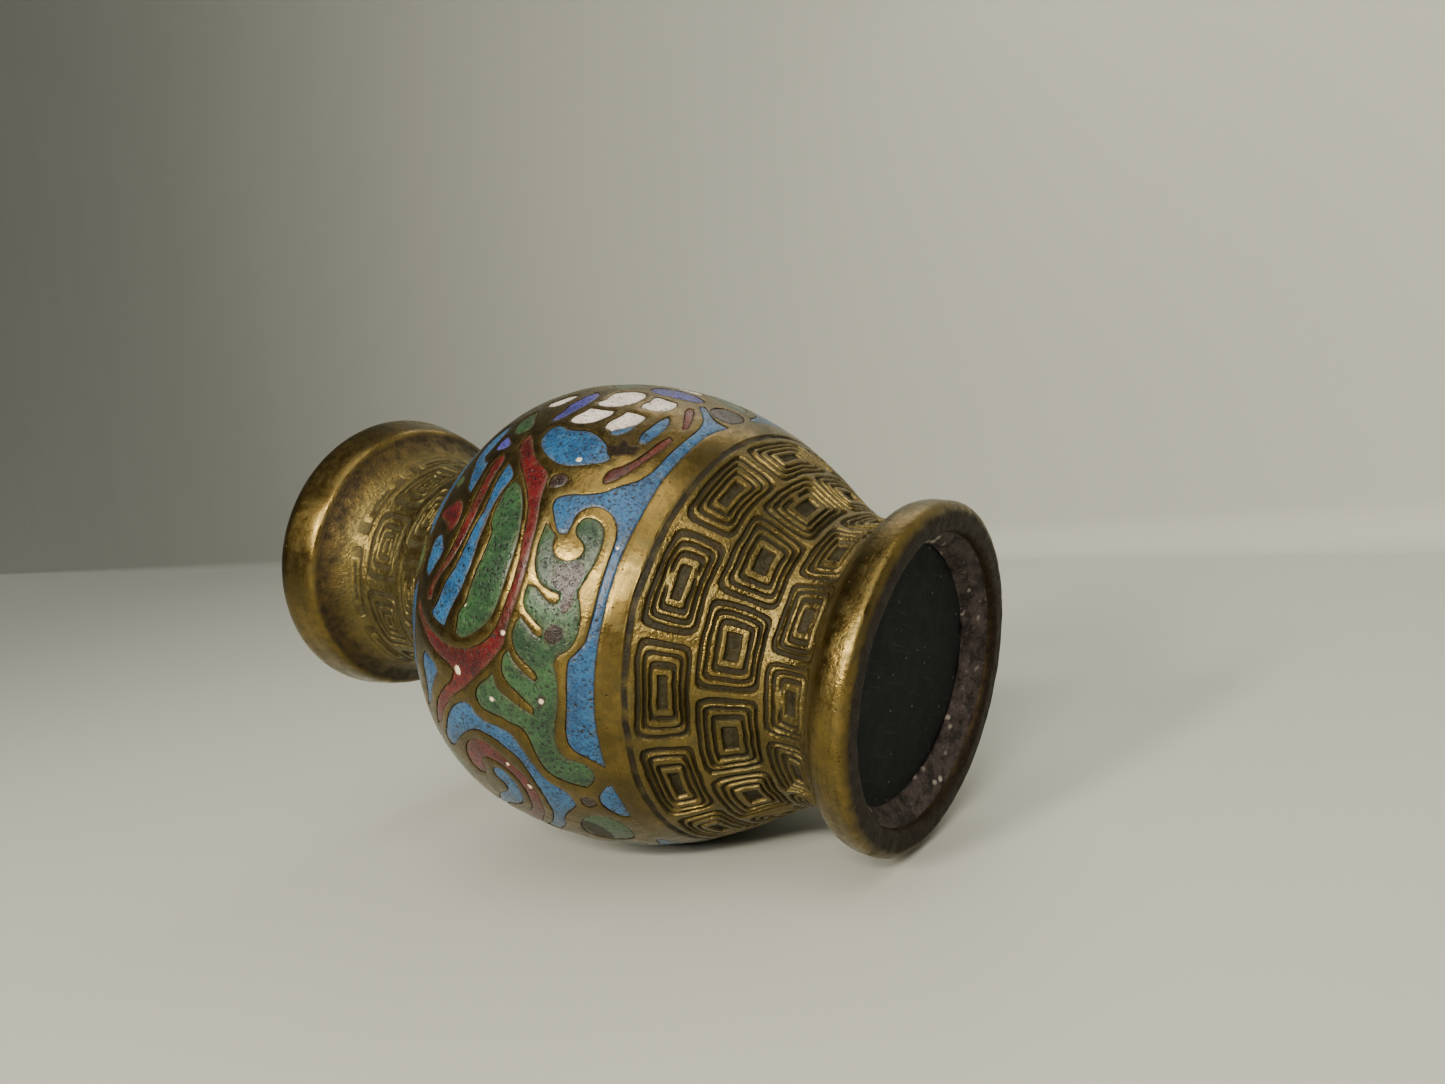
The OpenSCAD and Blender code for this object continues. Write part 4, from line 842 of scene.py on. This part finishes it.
def enamel_piece(name, colour, slot):
    P, F, E, CH, SO, base = [], [], [], [], [], 0
    for nm, col, c, ins in loops:
        if col != colour:
            continue
        holes = []
        short, k = nm.split(".")
        if short == "gap":
            holes = [next(l[2] for l in loops if l[0] == "drop_gap." + k)]
        if short == "green_main":
            holes = [l[2] for l in loops if l[3] == short and l[0].endswith("." + k)]
        c = offset(c, 0.012)
        holes = [offset(h_, -0.012) for h_ in holes]
        sets, faces, n = [c] + holes, [], 0
        for s_ in sets:
            faces.append(list(range(n, n + len(s_))))
            n += len(s_)
        nb = n
        more = []
        for d, keep in ((0.14, 0.11), (0.32, 0.26)):
            more.append(offset(c, d))
            more += [offset(h_, -d) for h_ in holes]
            for i in range(-1 - len(holes), 0):
                m = more[i]
                more[i] = m[gap_to(to3(m)) > keep]
        lo, hi = c.min(0), c.max(0)
        g_ = hexgrid(lo, hi, 0.6)
        g_ = g_[gap_to(to3(g_)) > 0.5]
        more.append(g_)
        if short == "green_main" or ins:
            pass
        for a, z, r, d in CHIPS:
            q_ = np.array([math.radians(a), float(t_of(z))])
            if k == "0" and inside(q_[None], c)[0]:
                more = [m[np.linalg.norm(to3(m) - surf(a, z), axis=1) > r * 1.35] for m in more]
                m = hexgrid(q_ - 2 * r / float(curve(z)), q_ + 2 * r / float(curve(z)), 0.11)
                dist = np.linalg.norm(to3(m) - surf(a, z), axis=1)
                more.append(m[(dist < r * 1.35) & (gap_to(to3(m)) > 0.06)])
        more = np.concatenate(more)
        ok = inside(more, c)
        for h_ in holes:
            ok &= ~inside(more, h_)
        more = more[ok]
        q_, t_, o_, of_ = cdt(np.concatenate(sets + [more]), faces, 1)
        t_ = [t for t, f in zip(t_, of_) if 0 in f and not any(i in f for i in range(1, len(sets)))]
        gap = gap_to(to3(q_))
        soft = np.zeros(len(q_), bool)
        if ins:  # meets green glass with no metal between
            soft[:] = True
        if short == "green_main":
            for h_ in holes:
                for i in range(len(h_)):
                    pass
            hp = to3(np.concatenate(holes))
            ht = kdtree.KDTree(len(hp))
            for i, p_ in enumerate(hp):
                ht.insert(p_, i)
            ht.balance()
            soft = np.array([ht.find(Vector(x))[2] < 0.36 for x in to3(q_)])
        g2 = np.where(soft, 0.5, gap)
        h = enamel_height(q_, g2, soft)
        chip = np.zeros(len(q_))
        p3 = to3(q_)
        if k == "0" and short not in ("head", "drop", "gap"):
            for a, z, r, d in CHIPS:
                rr = r * (1 + 0.35 * noise3(p3, r * 0.9, int(abs(a * 10))))
                w = 1 - smooth(np.linalg.norm(p3 - surf(a, z), axis=1), rr * 0.75, rr)
                chip = np.maximum(chip, w)
                h = h - d * w
        soil = np.zeros(len(q_))
        if k == "0" and short not in ("head", "drop", "gap"):
            for a, z, wt, wz in SOIL:
                dd = np.hypot((np.degrees(q_[:, 0]) - a) / wt, (z_of(q_[:, 1]) - z) / wz)
                soil = np.maximum(soil, 1 - smooth(dd, 0.6, 1.0))
            loss = inside(np.stack([np.degrees(q_[:, 0]), z_of(q_[:, 1])], -1), LOSS)
            h = h - 0.18 * loss
            soil = np.maximum(soil, loss * 1.0)
        top = surf(np.degrees(q_[:, 0]), z_of(q_[:, 1]), h)
        P.append(top)
        E.append(np.clip(g2, 0, 1))
        CH.append(chip)
        SO.append(soil)
        F += [tuple(int(i) + base for i in t) for t in t_]
        first = {}
        for i, o in enumerate(o_):
            for s_ in o:
                first[s_] = i
        b_ = np.concatenate(sets)
        bot = surf(np.degrees(b_[:, 0]), z_of(b_[:, 1]), -0.585)
        P.append(bot)
        E.append(np.zeros(nb))
        CH.append(np.zeros(nb))
        SO.append(np.zeros(nb))
        bb = base + len(top)
        _, t2, o2, of2 = cdt(b_, faces, 1)
        for t, f in zip(t2, of2):
            if 0 in f and not any(i in f for i in range(1, len(sets))):
                F.append(tuple(bb + int(o2[i][0]) for i in reversed(t)))
        for fc, sign in zip(faces, [1] + [-1] * len(holes)):
            for i in range(len(fc)):
                a, b = fc[i], fc[(i + 1) % len(fc)]
                if a in first and b in first and first[a] != first[b]:
                    quad = (base + first[a], bb + a, bb + b, base + first[b])
                    F.append(quad if sign > 0 else quad[::-1])
        base += len(top) + nb
    ob = mesh_object(name, np.concatenate(P), F, {"edge": np.concatenate(E), "chip": np.concatenate(CH),
                                                  "soil": np.concatenate(SO)}, 50)
    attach(ob, "root")
    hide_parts(slot)
    return ob


# soil on the metal around the worst loss
P_all = np.concatenate(body.p)
A_all = np.concatenate(body.a)
bt = np.degrees(np.arctan2(P_all[:, 0], -P_all[:, 1]))
hit = inside(np.stack([bt, P_all[:, 2]], -1), LOSS * [1, 1]) & (np.hypot(P_all[:, 0], P_all[:, 1]) > 28)
A_all[hit, 3] = np.maximum(A_all[hit, 3], 0.85)
body.p, body.a = [P_all], [A_all]
bronze = body.make("bronze_body_cast")
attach(bronze, "root")
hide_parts("bronze_body")

glass = {}
for colour in ("sky_blue", "green", "oxblood", "white", "cobalt", "aubergine"):
    glass[colour] = enamel_piece("glass_" + colour, colour, "enamel_" + colour)

# ---------------------------------------------------------------- base plate and its fillet
def polar(name, rings, th, closed_profile=True, attrs=None):
    """Closed mesh from rings of points, each (n, 3); the first or last may be a single centre point."""
    p, f, ids, n = [], [], [], 0
    for r_ in rings:
        p.append(r_)
        ids.append(np.arange(n, n + len(r_)))
        n += len(r_)
    pairs = list(zip(ids[:-1], ids[1:])) + ([(ids[-1], ids[0])] if closed_profile else [])
    for a, b in pairs:
        if len(a) == 1:
            f += [(int(a[0]), int(x), int(y)) for x, y in zip(np.roll(b, -1), b)]
        elif len(b) == 1:
            f += [(int(x), int(y), int(b[0])) for x, y in zip(a, np.roll(a, -1))]
        else:
            f += [tuple(x) for x in np.stack([a, np.roll(a, -1), np.roll(b, -1), b], -1).tolist()]
    return mesh_object(name, np.concatenate(p), f, attrs or {}, 40)


def circle(r, z, th):
    t = np.radians(th)
    r = np.broadcast_to(np.asarray(r, float), len(t))
    return np.stack([r * np.sin(t), -r * np.cos(t), np.broadcast_to(np.asarray(z, float), len(t))], -1)


TH = np.arange(128) * 360 / 128
rings = [np.array([[0, 0, 3.26]])]
for r in list(np.linspace(0.8, 17.4, 27)):
    c_ = circle(r, 3.2, TH)
    bump = 0.05 + 0.035 * noise3(c_, 4.5, 91) + 0.02 * noise3(c_, 1.6, 92)
    c_[:, 2] = 3.2 + np.clip(bump, 0.0, 0.14)
    rings.append(c_)
rings += [circle(17.75, 3.3, TH), circle(17.8, 3.45, TH), circle(17.8, 4.25, TH), circle(17.7, 4.38, TH), circle(17.4, 4.4, TH),
          circle(12, 4.4, TH), circle(6, 4.4, TH), np.array([[0, 0, 4.4]])]
plate = polar("base_plate_disc", rings[::1], TH, closed_profile=False)
TF = np.arange(256) * 360 / 256
rings = []
for r, z, amp in [(14.5, 3.2, 0.0), (14.62, 2.98, 0.45), (14.9, 2.72, 0.6), (15.25, 2.42, 0.55), (15.7, 2.05, 0.5), (16.3, 1.68, 0.42),
                  (16.85, 1.4, 0.3), (17.4, 1.2, 0.22), (17.75, 1.05, 0.1), (17.98, 0.98, 0.0), (17.99, 2.2, 0), (17.99, 4.38, 0),
                  (17.83, 4.4, 0), (17.82, 3.3, 0), (17.4, 3.21, 0), (15.6, 3.21, 0)]:
    c_ = circle(r, z, TF)
    n_ = 0.6 * noise3(c_, 2.6, 95) + 0.45 * noise3(c_, 1.15, 96) + 0.25 * noise3(c_, 0.55, 97)
    side = 0.5 * noise3(circle(16, 2, TF), 9, 98)
    shift = np.clip(1.5 * amp * (n_ + side), -0.45, 1.0) * (1 if amp else 0)
    full = 0.2 + 0.8 * smooth(np.cos(np.radians(TF - 172)) + 0.35 * noise3(circle(16, 2, TF), 7, 99), -0.75, 0.55)
    rr_ = 18 - (18 - np.clip(r + shift, 0, 17.99)) * full
    zz_ = z + np.clip(0.55 * amp * (n_ - side), -0.2, 0.5) * (1 if amp else 0) * full
    c_ = circle(rr_, zz_, TF)
    rings.append(c_)
fillet = polar("base_fillet_cement", rings, TF)
for ob, node, slot_ in ((plate, "base_plate", "dark_bronze"), (fillet, "base_fillet", "fillet")):
    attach(ob, "root")
    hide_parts(node)
# ---------------------------------------------------------------- materials
class Tree:
    def __init__(self, name):
        self.mat = bpy.data.materials.new(name)
        self.mat.use_nodes = True
        self.t = self.mat.node_tree
        self.t.nodes.clear()
        self.out = self.t.nodes.new("ShaderNodeOutputMaterial")
        self.co = self.t.nodes.new("ShaderNodeTexCoord").outputs["Object"]

    def put(self, sock, v):
        if isinstance(v, bpy.types.NodeSocket):
            self.t.links.new(v, sock)
        elif v is not None:
            if hasattr(sock.default_value, "__len__") and not hasattr(v, "__len__"):
                v = [v] * len(sock.default_value)
            if hasattr(sock.default_value, "__len__") and len(sock.default_value) == 4 and len(v) == 3:
                v = (*v, 1)
            sock.default_value = v

    def attr(self, name):
        n = self.t.nodes.new("ShaderNodeAttribute")
        n.attribute_name = name
        return n.outputs["Fac"]

    def math(self, op, a, b=None, c=None, clamp=False):
        n = self.t.nodes.new("ShaderNodeMath")
        n.operation, n.use_clamp = op, clamp
        for s, v in zip(n.inputs, (a, b, c)):
            self.put(s, v)
        return n.outputs[0]

    def at(self, scale, turn=(0, 0, 0), shift=(0, 0, 0)):
        """Position in mm times scale, one number or three."""
        n = self.t.nodes.new("ShaderNodeMapping")
        s = (scale,) * 3 if not hasattr(scale, "__len__") else scale
        n.inputs["Scale"].default_value = [x * 1000 for x in s]
        n.inputs["Location"].default_value = shift
        self.t.links.new(self.co, n.inputs["Vector"])
        return n.outputs[0]

    def noise(self, scale, detail=3, rough=0.55, shift=(0, 0, 0), distort=0.0):
        n = self.t.nodes.new("ShaderNodeTexNoise")
        n.inputs["Scale"].default_value = 1
        n.inputs["Detail"].default_value = detail
        n.inputs["Roughness"].default_value = rough
        n.inputs["Distortion"].default_value = distort
        self.t.links.new(self.at(scale, shift=shift), n.inputs["Vector"])
        return n.outputs["Fac"]

    def cells(self, scale, kind="F1", shift=(0, 0, 0), random=1.0):
        n = self.t.nodes.new("ShaderNodeTexVoronoi")
        n.feature = kind
        n.inputs["Scale"].default_value = 1
        n.inputs["Randomness"].default_value = random
        self.t.links.new(self.at(scale, shift=shift), n.inputs["Vector"])
        return n.outputs["Distance"], n.outputs.get("Color")

    def step(self, v, a, b, lo=0.0, hi=1.0):
        n = self.t.nodes.new("ShaderNodeMapRange")
        n.interpolation_type = "SMOOTHSTEP"
        for s, x in zip((n.inputs["Value"], n.inputs["From Min"], n.inputs["From Max"], n.inputs["To Min"], n.inputs["To Max"]),
                        (v, a, b, lo, hi)):
            self.put(s, x)
        return n.outputs[0]

    def mix(self, f, a, b):
        n = self.t.nodes.new("ShaderNodeMix")
        n.data_type = "RGBA"
        self.put(n.inputs["Factor"], f)
        self.put(n.inputs[6], a)
        self.put(n.inputs[7], b)
        return n.outputs[2]

    def lerp(self, f, a, b):
        n = self.t.nodes.new("ShaderNodeMix")
        self.put(n.inputs["Factor"], f)
        self.put(n.inputs[2], a)
        self.put(n.inputs[3], b)
        return n.outputs[0]

    def bump(self, h, strength, dist_mm, normal=None):
        n = self.t.nodes.new("ShaderNodeBump")
        n.inputs["Strength"].default_value = strength
        n.inputs["Distance"].default_value = dist_mm * MM
        self.t.links.new(h, n.inputs["Height"])
        if normal is not None:
            self.t.links.new(normal, n.inputs["Normal"])
        return n.outputs[0]

    def shade(self, color, rough, metal=0.0, normal=None, **more):
        b = self.t.nodes.new("ShaderNodeBsdfPrincipled")
        self.put(b.inputs["Base Color"], color)
        self.put(b.inputs["Roughness"], rough)
        self.put(b.inputs["Metallic"], metal)
        for k, v in more.items():
            b.inputs[k.replace("_", " ")].default_value = v
        if normal is not None:
            self.t.links.new(normal, b.inputs["Normal"])
        self.t.links.new(b.outputs[0], self.out.inputs["Surface"])
        return self.mat


def srgb(*c):
    return tuple(((x / 255 + 0.055) / 1.055) ** 2.4 if x > 10 else x / 255 / 12.92 for x in c)


def bronze_material(name):
    m = Tree(name)
    cav, line, tone, dark = (m.attr(x) for x in ("cav", "line", "tone", "dark"))
    big = m.noise(0.12, 4, 0.6)
    mid = m.noise(0.6, 5, 0.6, (7, 3, 1))
    fine = m.noise(3.0, 4, 0.65, (2, 8, 5))
    streak = m.noise((0.1, 0.1, 3.2), 4, 0.65, (3, 3, 3))
    gold = m.mix(m.step(big, 0.35, 0.65), srgb(122, 102, 54), srgb(92, 77, 41))
    gold = m.mix(m.step(mid, 0.42, 0.7, 0, 0.6), gold, srgb(70, 62, 36))
    gold = m.mix(m.step(fine, 0.5, 0.75, 0, 0.45), gold, srgb(46, 40, 24))
    gold = m.mix(m.step(streak, 0.5, 0.72, 0, 0.35), gold, srgb(60, 52, 30))
    # grey-green patina, from where it gathers; through cav the darker floor colour also paints shade in the groove
    # above the foot, under the lip and inside the mouth
    t_ = m.math("ADD", m.math("MULTIPLY", tone, 0.5), m.math("MULTIPLY", m.math("SUBTRACT", mid, 0.5), 0.9), clamp=True)
    c = m.mix(t_, gold, srgb(112, 105, 68))
    cv = m.math("MULTIPLY", cav, m.step(fine, 0.2, 0.55, 0.7, 1.0), clamp=True)
    floor = m.mix(m.step(mid, 0.36, 0.6), srgb(26, 24, 16), srgb(64, 60, 41))
    floor = m.mix(m.step(fine, 0.42, 0.62), m.mix(0.55, floor, srgb(24, 20, 12)), floor)
    c = m.mix(cv, c, floor)
    # soot along the cell lines and fret grooves, and painted shade in the groove above the foot
    soot_and_shade = m.math("MULTIPLY", m.step(line, 0.12, 0.85), m.step(mid, 0.34, 0.6, 0.42, 0.96), clamp=True)
    c = m.mix(soot_and_shade, c, srgb(25, 21, 13))
    # dark brown from the dark attribute: the foot's own colour on its rim and bottom edge and soil round the enamel
    # loss; painted shade under the lip, inside the mouth and in the groove above the foot
    dk = m.math("MULTIPLY", m.step(m.math("ADD", dark, m.math("MULTIPLY", m.math("SUBTRACT", mid, 0.5), 0.6)), 0.1, 0.85), 0.97)
    c = m.mix(dk, c, m.mix(m.step(fine, 0.4, 0.7), srgb(20, 15, 12), srgb(46, 33, 24)))
    # pits
    pd, _ = m.cells(0.85, shift=(4, 4, 4))
    pit = m.step(pd, 0.05, 0.13, 1, 0)
    c = m.mix(m.math("MULTIPLY", pit, 0.7), c, srgb(34, 26, 14))
    metal = m.math("SUBTRACT", 1.0, m.math("ADD", m.math("MULTIPLY", cv, 0.6), m.math("MULTIPLY", soot_and_shade, 0.6), clamp=True), clamp=True)
    metal = m.math("MULTIPLY", metal, m.math("SUBTRACT", 1.0, m.math("MULTIPLY", dk, 0.45)))
    rough = m.math("ADD", m.math("MULTIPLY", t_, 0.14), m.step(mid, 0.3, 0.75, 0.24, 0.4))
    rough = m.math("ADD", rough, m.math("MULTIPLY", m.math("MAXIMUM", cv, dk), 0.25), clamp=True)
    # dents, scratches round the vase, and the grain of the casting
    work = m.math("ADD", 0.05, m.math("MULTIPLY", tone, 2.4), clamp=True)
    nrm = m.bump(m.noise(0.28, 2, 0.5, (1, 1, 7)), 0.3, 0.3)
    nrm = m.bump(m.math("MULTIPLY", m.noise(2.1, 3, 0.6, (5, 2, 7)), work), 0.85, 0.2, nrm)
    nrm = m.bump(streak, 0.25, 0.035, nrm)
    nrm = m.bump(m.noise((0.2, 0.2, 9), 3, 0.6), 0.25, 0.03, nrm)
    nrm = m.bump(m.math("MULTIPLY", m.noise((5, 5, 0.35), 2, 0.5, (9, 1, 3)), work), 0.3, 0.05, nrm)
    nrm = m.bump(m.math("ADD", m.math("MULTIPLY", fine, m.math("ADD", m.math("MAXIMUM", cv, m.math("MULTIPLY", dk, 2.2)), 0.25)), m.math("MULTIPLY", pit, -0.7)), 0.7, 0.09, nrm)
    return m.shade(c, rough, metal, nrm, Specular_IOR_Level=0.15)


def enamel_material(name, base, deep, pale, speck=(26, 24, 24), pits=1.0):
    m = Tree(name)
    edge, chip, soil = m.attr("edge"), m.attr("chip"), m.attr("soil")
    big = m.noise(0.22, 4, 0.6, (3, 1, 4))
    mid = m.noise(1.1, 5, 0.65, (1, 5, 9))
    fine = m.noise(5.5, 3, 0.6, (2, 6, 5))
    c = m.mix(m.step(big, 0.35, 0.65), srgb(*base), srgb(*deep))
    c = m.mix(m.step(mid, 0.52, 0.78, 0, 0.55), c, srgb(*pale))
    c = m.mix(m.step(mid, 0.25, 0.42, 0.5, 0), c, srgb(*deep))
    c = m.mix(m.step(fine, 0.55, 0.85, 0, 0.22), c, srgb(*pale))
    grain = m.noise(2.3, 4, 0.7, (4, 9, 1))
    c = m.mix(m.step(grain, 0.5, 0.64, 0, 0.72 * pits), c, srgb(*[x * 0.42 for x in deep]))
    # open bubbles full of dirt
    d1, _ = m.cells(1.0, shift=(2, 2, 2))
    d2, _ = m.cells(2.1, shift=(5, 1, 3))
    sparse = m.step(m.noise(0.45, 2, 0.5, (8, 8, 2)), 0.4, 0.6)
    p1 = m.math("MULTIPLY", m.step(d1, 0.17, 0.27, 1, 0), m.step(sparse, 0, 1, 0.6, 1.0))
    p2 = m.math("MULTIPLY", m.step(d2, 0.2, 0.34, 1, 0), m.step(sparse, 0, 1, 0.35, 0.95))
    pit = m.math("MULTIPLY", m.math("MAXIMUM", p1, p2), pits, clamp=True)
    c = m.mix(m.math("MULTIPLY", pit, 0.9), c, srgb(*speck))
    # grime along the metal lines and soiled patches
    rim = m.math("MULTIPLY", m.step(edge, 0.0, 0.2, 1, 0), m.step(mid, 0.25, 0.6, 0.45, 0.95), clamp=True)
    c = m.mix(rim, c, srgb(40, 36, 26))
    wash = m.math("MULTIPLY", m.step(edge, 0.1, 0.9, 0.32, 0), m.step(mid, 0.35, 0.65))
    c = m.mix(wash, c, srgb(88, 76, 48))
    so = m.math("MULTIPLY", m.step(m.math("ADD", soil, m.math("MULTIPLY", m.math("SUBTRACT", mid, 0.5), 0.8)), 0.25, 0.85), 0.85)
    c = m.mix(so, c, srgb(44, 36, 28))
    c = m.mix(chip, c, m.mix(m.step(fine, 0.4, 0.6), srgb(196, 180, 146), srgb(222, 210, 180)))
    rough = m.math("ADD", m.step(mid, 0.3, 0.7, 0.16, 0.3), m.math("MULTIPLY", m.math("MAXIMUM", chip, m.math("MAXIMUM", rim, so)), 0.4),
                   clamp=True)
    nrm = m.bump(m.noise(0.7, 3, 0.5, (6, 2, 2)), 0.3, 0.12)
    nrm = m.bump(m.noise(2.6, 4, 0.6, (7, 7, 3)), 0.55, 0.09, nrm)
    nrm = m.bump(m.math("SUBTRACT", m.math("MULTIPLY", fine, 0.5), pit), 0.7, 0.08, nrm)
    return m.shade(c, rough, 0.0, nrm, Specular_IOR_Level=0.3)


def give(ob, mat):
    ob.data.materials.clear()
    ob.data.materials.append(mat)


give(bronze, bronze_material("bronze_patina"))
COLOURS = {"sky_blue": ((38, 84, 124), (26, 62, 98), (68, 114, 148)), "green": ((49, 79, 48), (32, 54, 36), (84, 106, 70)),
           "oxblood": ((86, 17, 19), (56, 11, 13), (110, 40, 35)), "white": ((216, 208, 200), (186, 176, 168), (240, 234, 226)),
           "cobalt": ((60, 60, 140), (40, 42, 106), (92, 94, 160)), "aubergine": ((44, 28, 28), (26, 18, 18), (74, 50, 42))}
for k, v in COLOURS.items():
    give(glass[k], enamel_material("enamel_" + k, *v, pits=0.6 if k == "white" else 1.0))


def plate_material():
    m = Tree("blackened_plate")
    mid, fine = m.noise(0.35, 5, 0.6), m.noise(2.6, 4, 0.6)
    c = m.mix(m.step(mid, 0.35, 0.68), srgb(11, 13, 15), srgb(22, 24, 26))
    c = m.mix(m.step(fine, 0.5, 0.8, 0, 0.25), c, srgb(52, 53, 52))
    s = m.step(m.noise((3.4, 0.12, 1), 2, 0.5, (3, 0, 0)), 0.62, 0.74, 0, 0.14)
    c = m.mix(s, c, srgb(90, 90, 88))
    d, _ = m.cells(0.55)
    c = m.mix(m.step(d, 0.05, 0.1, 0.5, 0), c, srgb(140, 134, 122))
    nrm = m.bump(fine, 0.4, 0.08, m.bump(mid, 0.3, 0.3))
    return m.shade(c, m.step(mid, 0.3, 0.7, 0.55, 0.75), 0.0, nrm, Specular_IOR_Level=0.1)


def fillet_material():
    m = Tree("old_solder_and_cement")
    mid, fine = m.noise(0.55, 5, 0.65), m.noise(2.4, 5, 0.65, (5, 5, 5))
    c = m.mix(m.step(mid, 0.38, 0.6), srgb(34, 29, 28), srgb(72, 62, 60))
    c = m.mix(m.step(fine, 0.54, 0.74, 0, 0.7), c, srgb(118, 106, 102))
    c = m.mix(m.step(fine, 0.28, 0.44, 0.9, 0), c, srgb(24, 19, 17))
    d, _ = m.cells(0.6, shift=(1, 2, 3))
    patch = m.step(m.noise(0.3, 2, 0.5, (2, 5, 1)), 0.5, 0.64)
    c = m.mix(m.math("MULTIPLY", m.step(d, 0.12, 0.34, 0.85, 0), patch), c, srgb(176, 164, 154))
    nrm = m.bump(fine, 1.0, 0.4, m.bump(mid, 0.8, 0.9))
    return m.shade(c, m.step(fine, 0.3, 0.7, 0.5, 0.85), 0.0, nrm, Specular_IOR_Level=0.2)


give(plate, plate_material())
give(fillet, fillet_material())

# ---------------------------------------------------------------- camera
right = Vector((0.23566183, 0.53892143, -0.80871948))
up = Vector((0.9686729, -0.19733464, 0.15077089))
back = Vector((-0.0783347, -0.81891559, -0.56854282))
eye = Vector((0, -0.123596, -0.051010))
cam = bpy.data.objects.new("camera", bpy.data.cameras.new("camera"))
bpy.context.scene.collection.objects.link(cam)
cam.matrix_world = Matrix(((right.x, up.x, back.x, eye.x), (right.y, up.y, back.y, eye.y), (right.z, up.z, back.z, eye.z),
                           (0, 0, 0, 1)))
cam.data.lens, cam.data.sensor_width, cam.data.sensor_fit = 27.14, 36, "HORIZONTAL"
cam.data.clip_start, cam.data.clip_end = 0.005, 20
bpy.context.scene.camera = cam

# ---------------------------------------------------------------- stage: the shelf that the vase lies on, and a wall behind it
# The shelf touches the belly and the foot ring, on the side away from +X.
n_ = Vector((0.906, -0.353, 0.233)).normalized()
pts_ = np.concatenate([surf(np.linspace(-180, 180, 361), np.full(361, float(z))) for z in np.arange(0, 100.5, 0.5)])
low = float((pts_ @ np.array(n_)).min()) * MM
start = n_ * low


def on_shelf(x, y, d):
    """Where the ray through a photo pixel of 1445 x 1084 meets the shelf."""
    v = right * ((x - 722.5) / 1445 * 36 / 27.14) + up * (-(y - 542) / 1445 * 36 / 27.14) - back
    s = (low - eye.dot(n_)) / v.dot(n_)
    return eye + v * s


far, far_l, far_r = on_shelf(722, 560, 0), on_shelf(0, 575, 0), on_shelf(1445, 545, 0)
side = (far_r - far_l).normalized()
into = n_.cross(side)
if into.dot(back) > 0:
    into = -into
depth = (far - start).dot(into)
prof_, R_ = [], 0.012
for s in (-1.6, -0.4, 0, depth - R_):
    prof_.append((s, 0.0))
for i in range(1, 13):
    a = i / 12 * math.pi / 2
    prof_.append((depth - R_ + R_ * math.sin(a), R_ - R_ * math.cos(a)))
prof_ += [(depth, 0.5), (depth, 2.2)]
sv, sf = [], []
for s, h in prof_:
    for w in (-14, 14):
        sv.append(start + into * s + n_ * h + side * w)
for i in range(len(prof_) - 1):
    sf.append((2 * i, 2 * i + 1, 2 * i + 3, 2 * i + 2))
me = bpy.data.meshes.new("sweep")
me.from_pydata([tuple(v) for v in sv], [], sf)
me.update()
if me.polygons[0].normal.dot(n_) < 0:
    me.flip_normals()
sweep = bpy.data.objects.new("sweep", me)
bpy.context.scene.collection.objects.link(sweep)
me.shade_smooth()
sweep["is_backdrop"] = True
m = Tree("pale_sweep")
soft = m.noise((0.004, 0.004, 0.004), 2, 0.5)
pb = m.t.nodes.new("ShaderNodeBsdfPrincipled")
m.put(pb.inputs["Base Color"], m.mix(soft, srgb(176, 180, 172), srgb(184, 187, 179)))
pb.inputs["Roughness"].default_value = 0.55
tr = m.t.nodes.new("ShaderNodeBsdfTransparent")
gm = m.t.nodes.new("ShaderNodeNewGeometry")
mx = m.t.nodes.new("ShaderNodeMixShader")
m.t.links.new(gm.outputs["Backfacing"], mx.inputs[0])
m.t.links.new(pb.outputs[0], mx.inputs[1])
m.t.links.new(tr.outputs[0], mx.inputs[2])
m.t.links.new(mx.outputs[0], m.out.inputs["Surface"])
give(sweep, m.mat)

# ---------------------------------------------------------------- light
world = bpy.data.worlds.new("room")
bpy.context.scene.world = world
world.use_nodes = True
bg = world.node_tree.nodes["Background"]
bg.inputs["Color"].default_value = (*srgb(226, 222, 214), 1)
bg.inputs["Strength"].default_value = 0.15
mid_ = Vector((0, 0, 0.045))


def area(name, r, u, b, dist, sx, sy, watts, colour):
    """An area light in the direction r right, u up and b back as the camera sees it, facing the vase."""
    d = (right * r + up * u + back * b).normalized()
    li = bpy.data.lights.new(name, "AREA")
    li.shape, li.size, li.size_y = "RECTANGLE", sx, sy
    li.energy, li.color = watts, colour
    ob = bpy.data.objects.new(name, li)
    bpy.context.scene.collection.objects.link(ob)
    z = d
    x = (right - z * right.dot(z)).normalized()
    y = z.cross(x)
    p = mid_ + d * dist
    ob.matrix_world = Matrix(((x.x, y.x, z.x, p.x), (x.y, y.y, z.y, p.y), (x.z, y.z, z.z, p.z), (0, 0, 0, 1)))
    return ob


area("key_strip", -0.26, 0.38, 0.88, 0.6, 0.2, 0.05, 3.0, srgb(255, 246, 228))
area("key_left", -0.61, 0.25, 0.67, 0.6, 0.06, 0.16, 3.6, srgb(255, 246, 228))
area("back_fill", 0.25, 0.85, -0.46, 0.3, 0.24, 0.1, 0.16, srgb(255, 248, 238))
sun = bpy.data.lights.new("ceiling", "SUN")
sun.energy, sun.angle, sun.color = 1.75, math.radians(50), srgb(255, 250, 240)
ob = bpy.data.objects.new("ceiling", sun)
bpy.context.scene.collection.objects.link(ob)
ob.rotation_mode = "QUATERNION"
ob.rotation_quaternion = (right * -0.1 + up * 0.88 + back * 0.45).to_track_quat("Z", "Y")
area("side_fill", 0.9, 0.35, 0.3, 0.9, 0.4, 0.4, 0.4, srgb(236, 240, 250))

lo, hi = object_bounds()
print("stage depth", depth, "junction", (far_l - start).dot(side), (far_r - start).dot(side))
print("triangles", sum(len(q.vertices) - 2 for q in bronze.data.polygons))
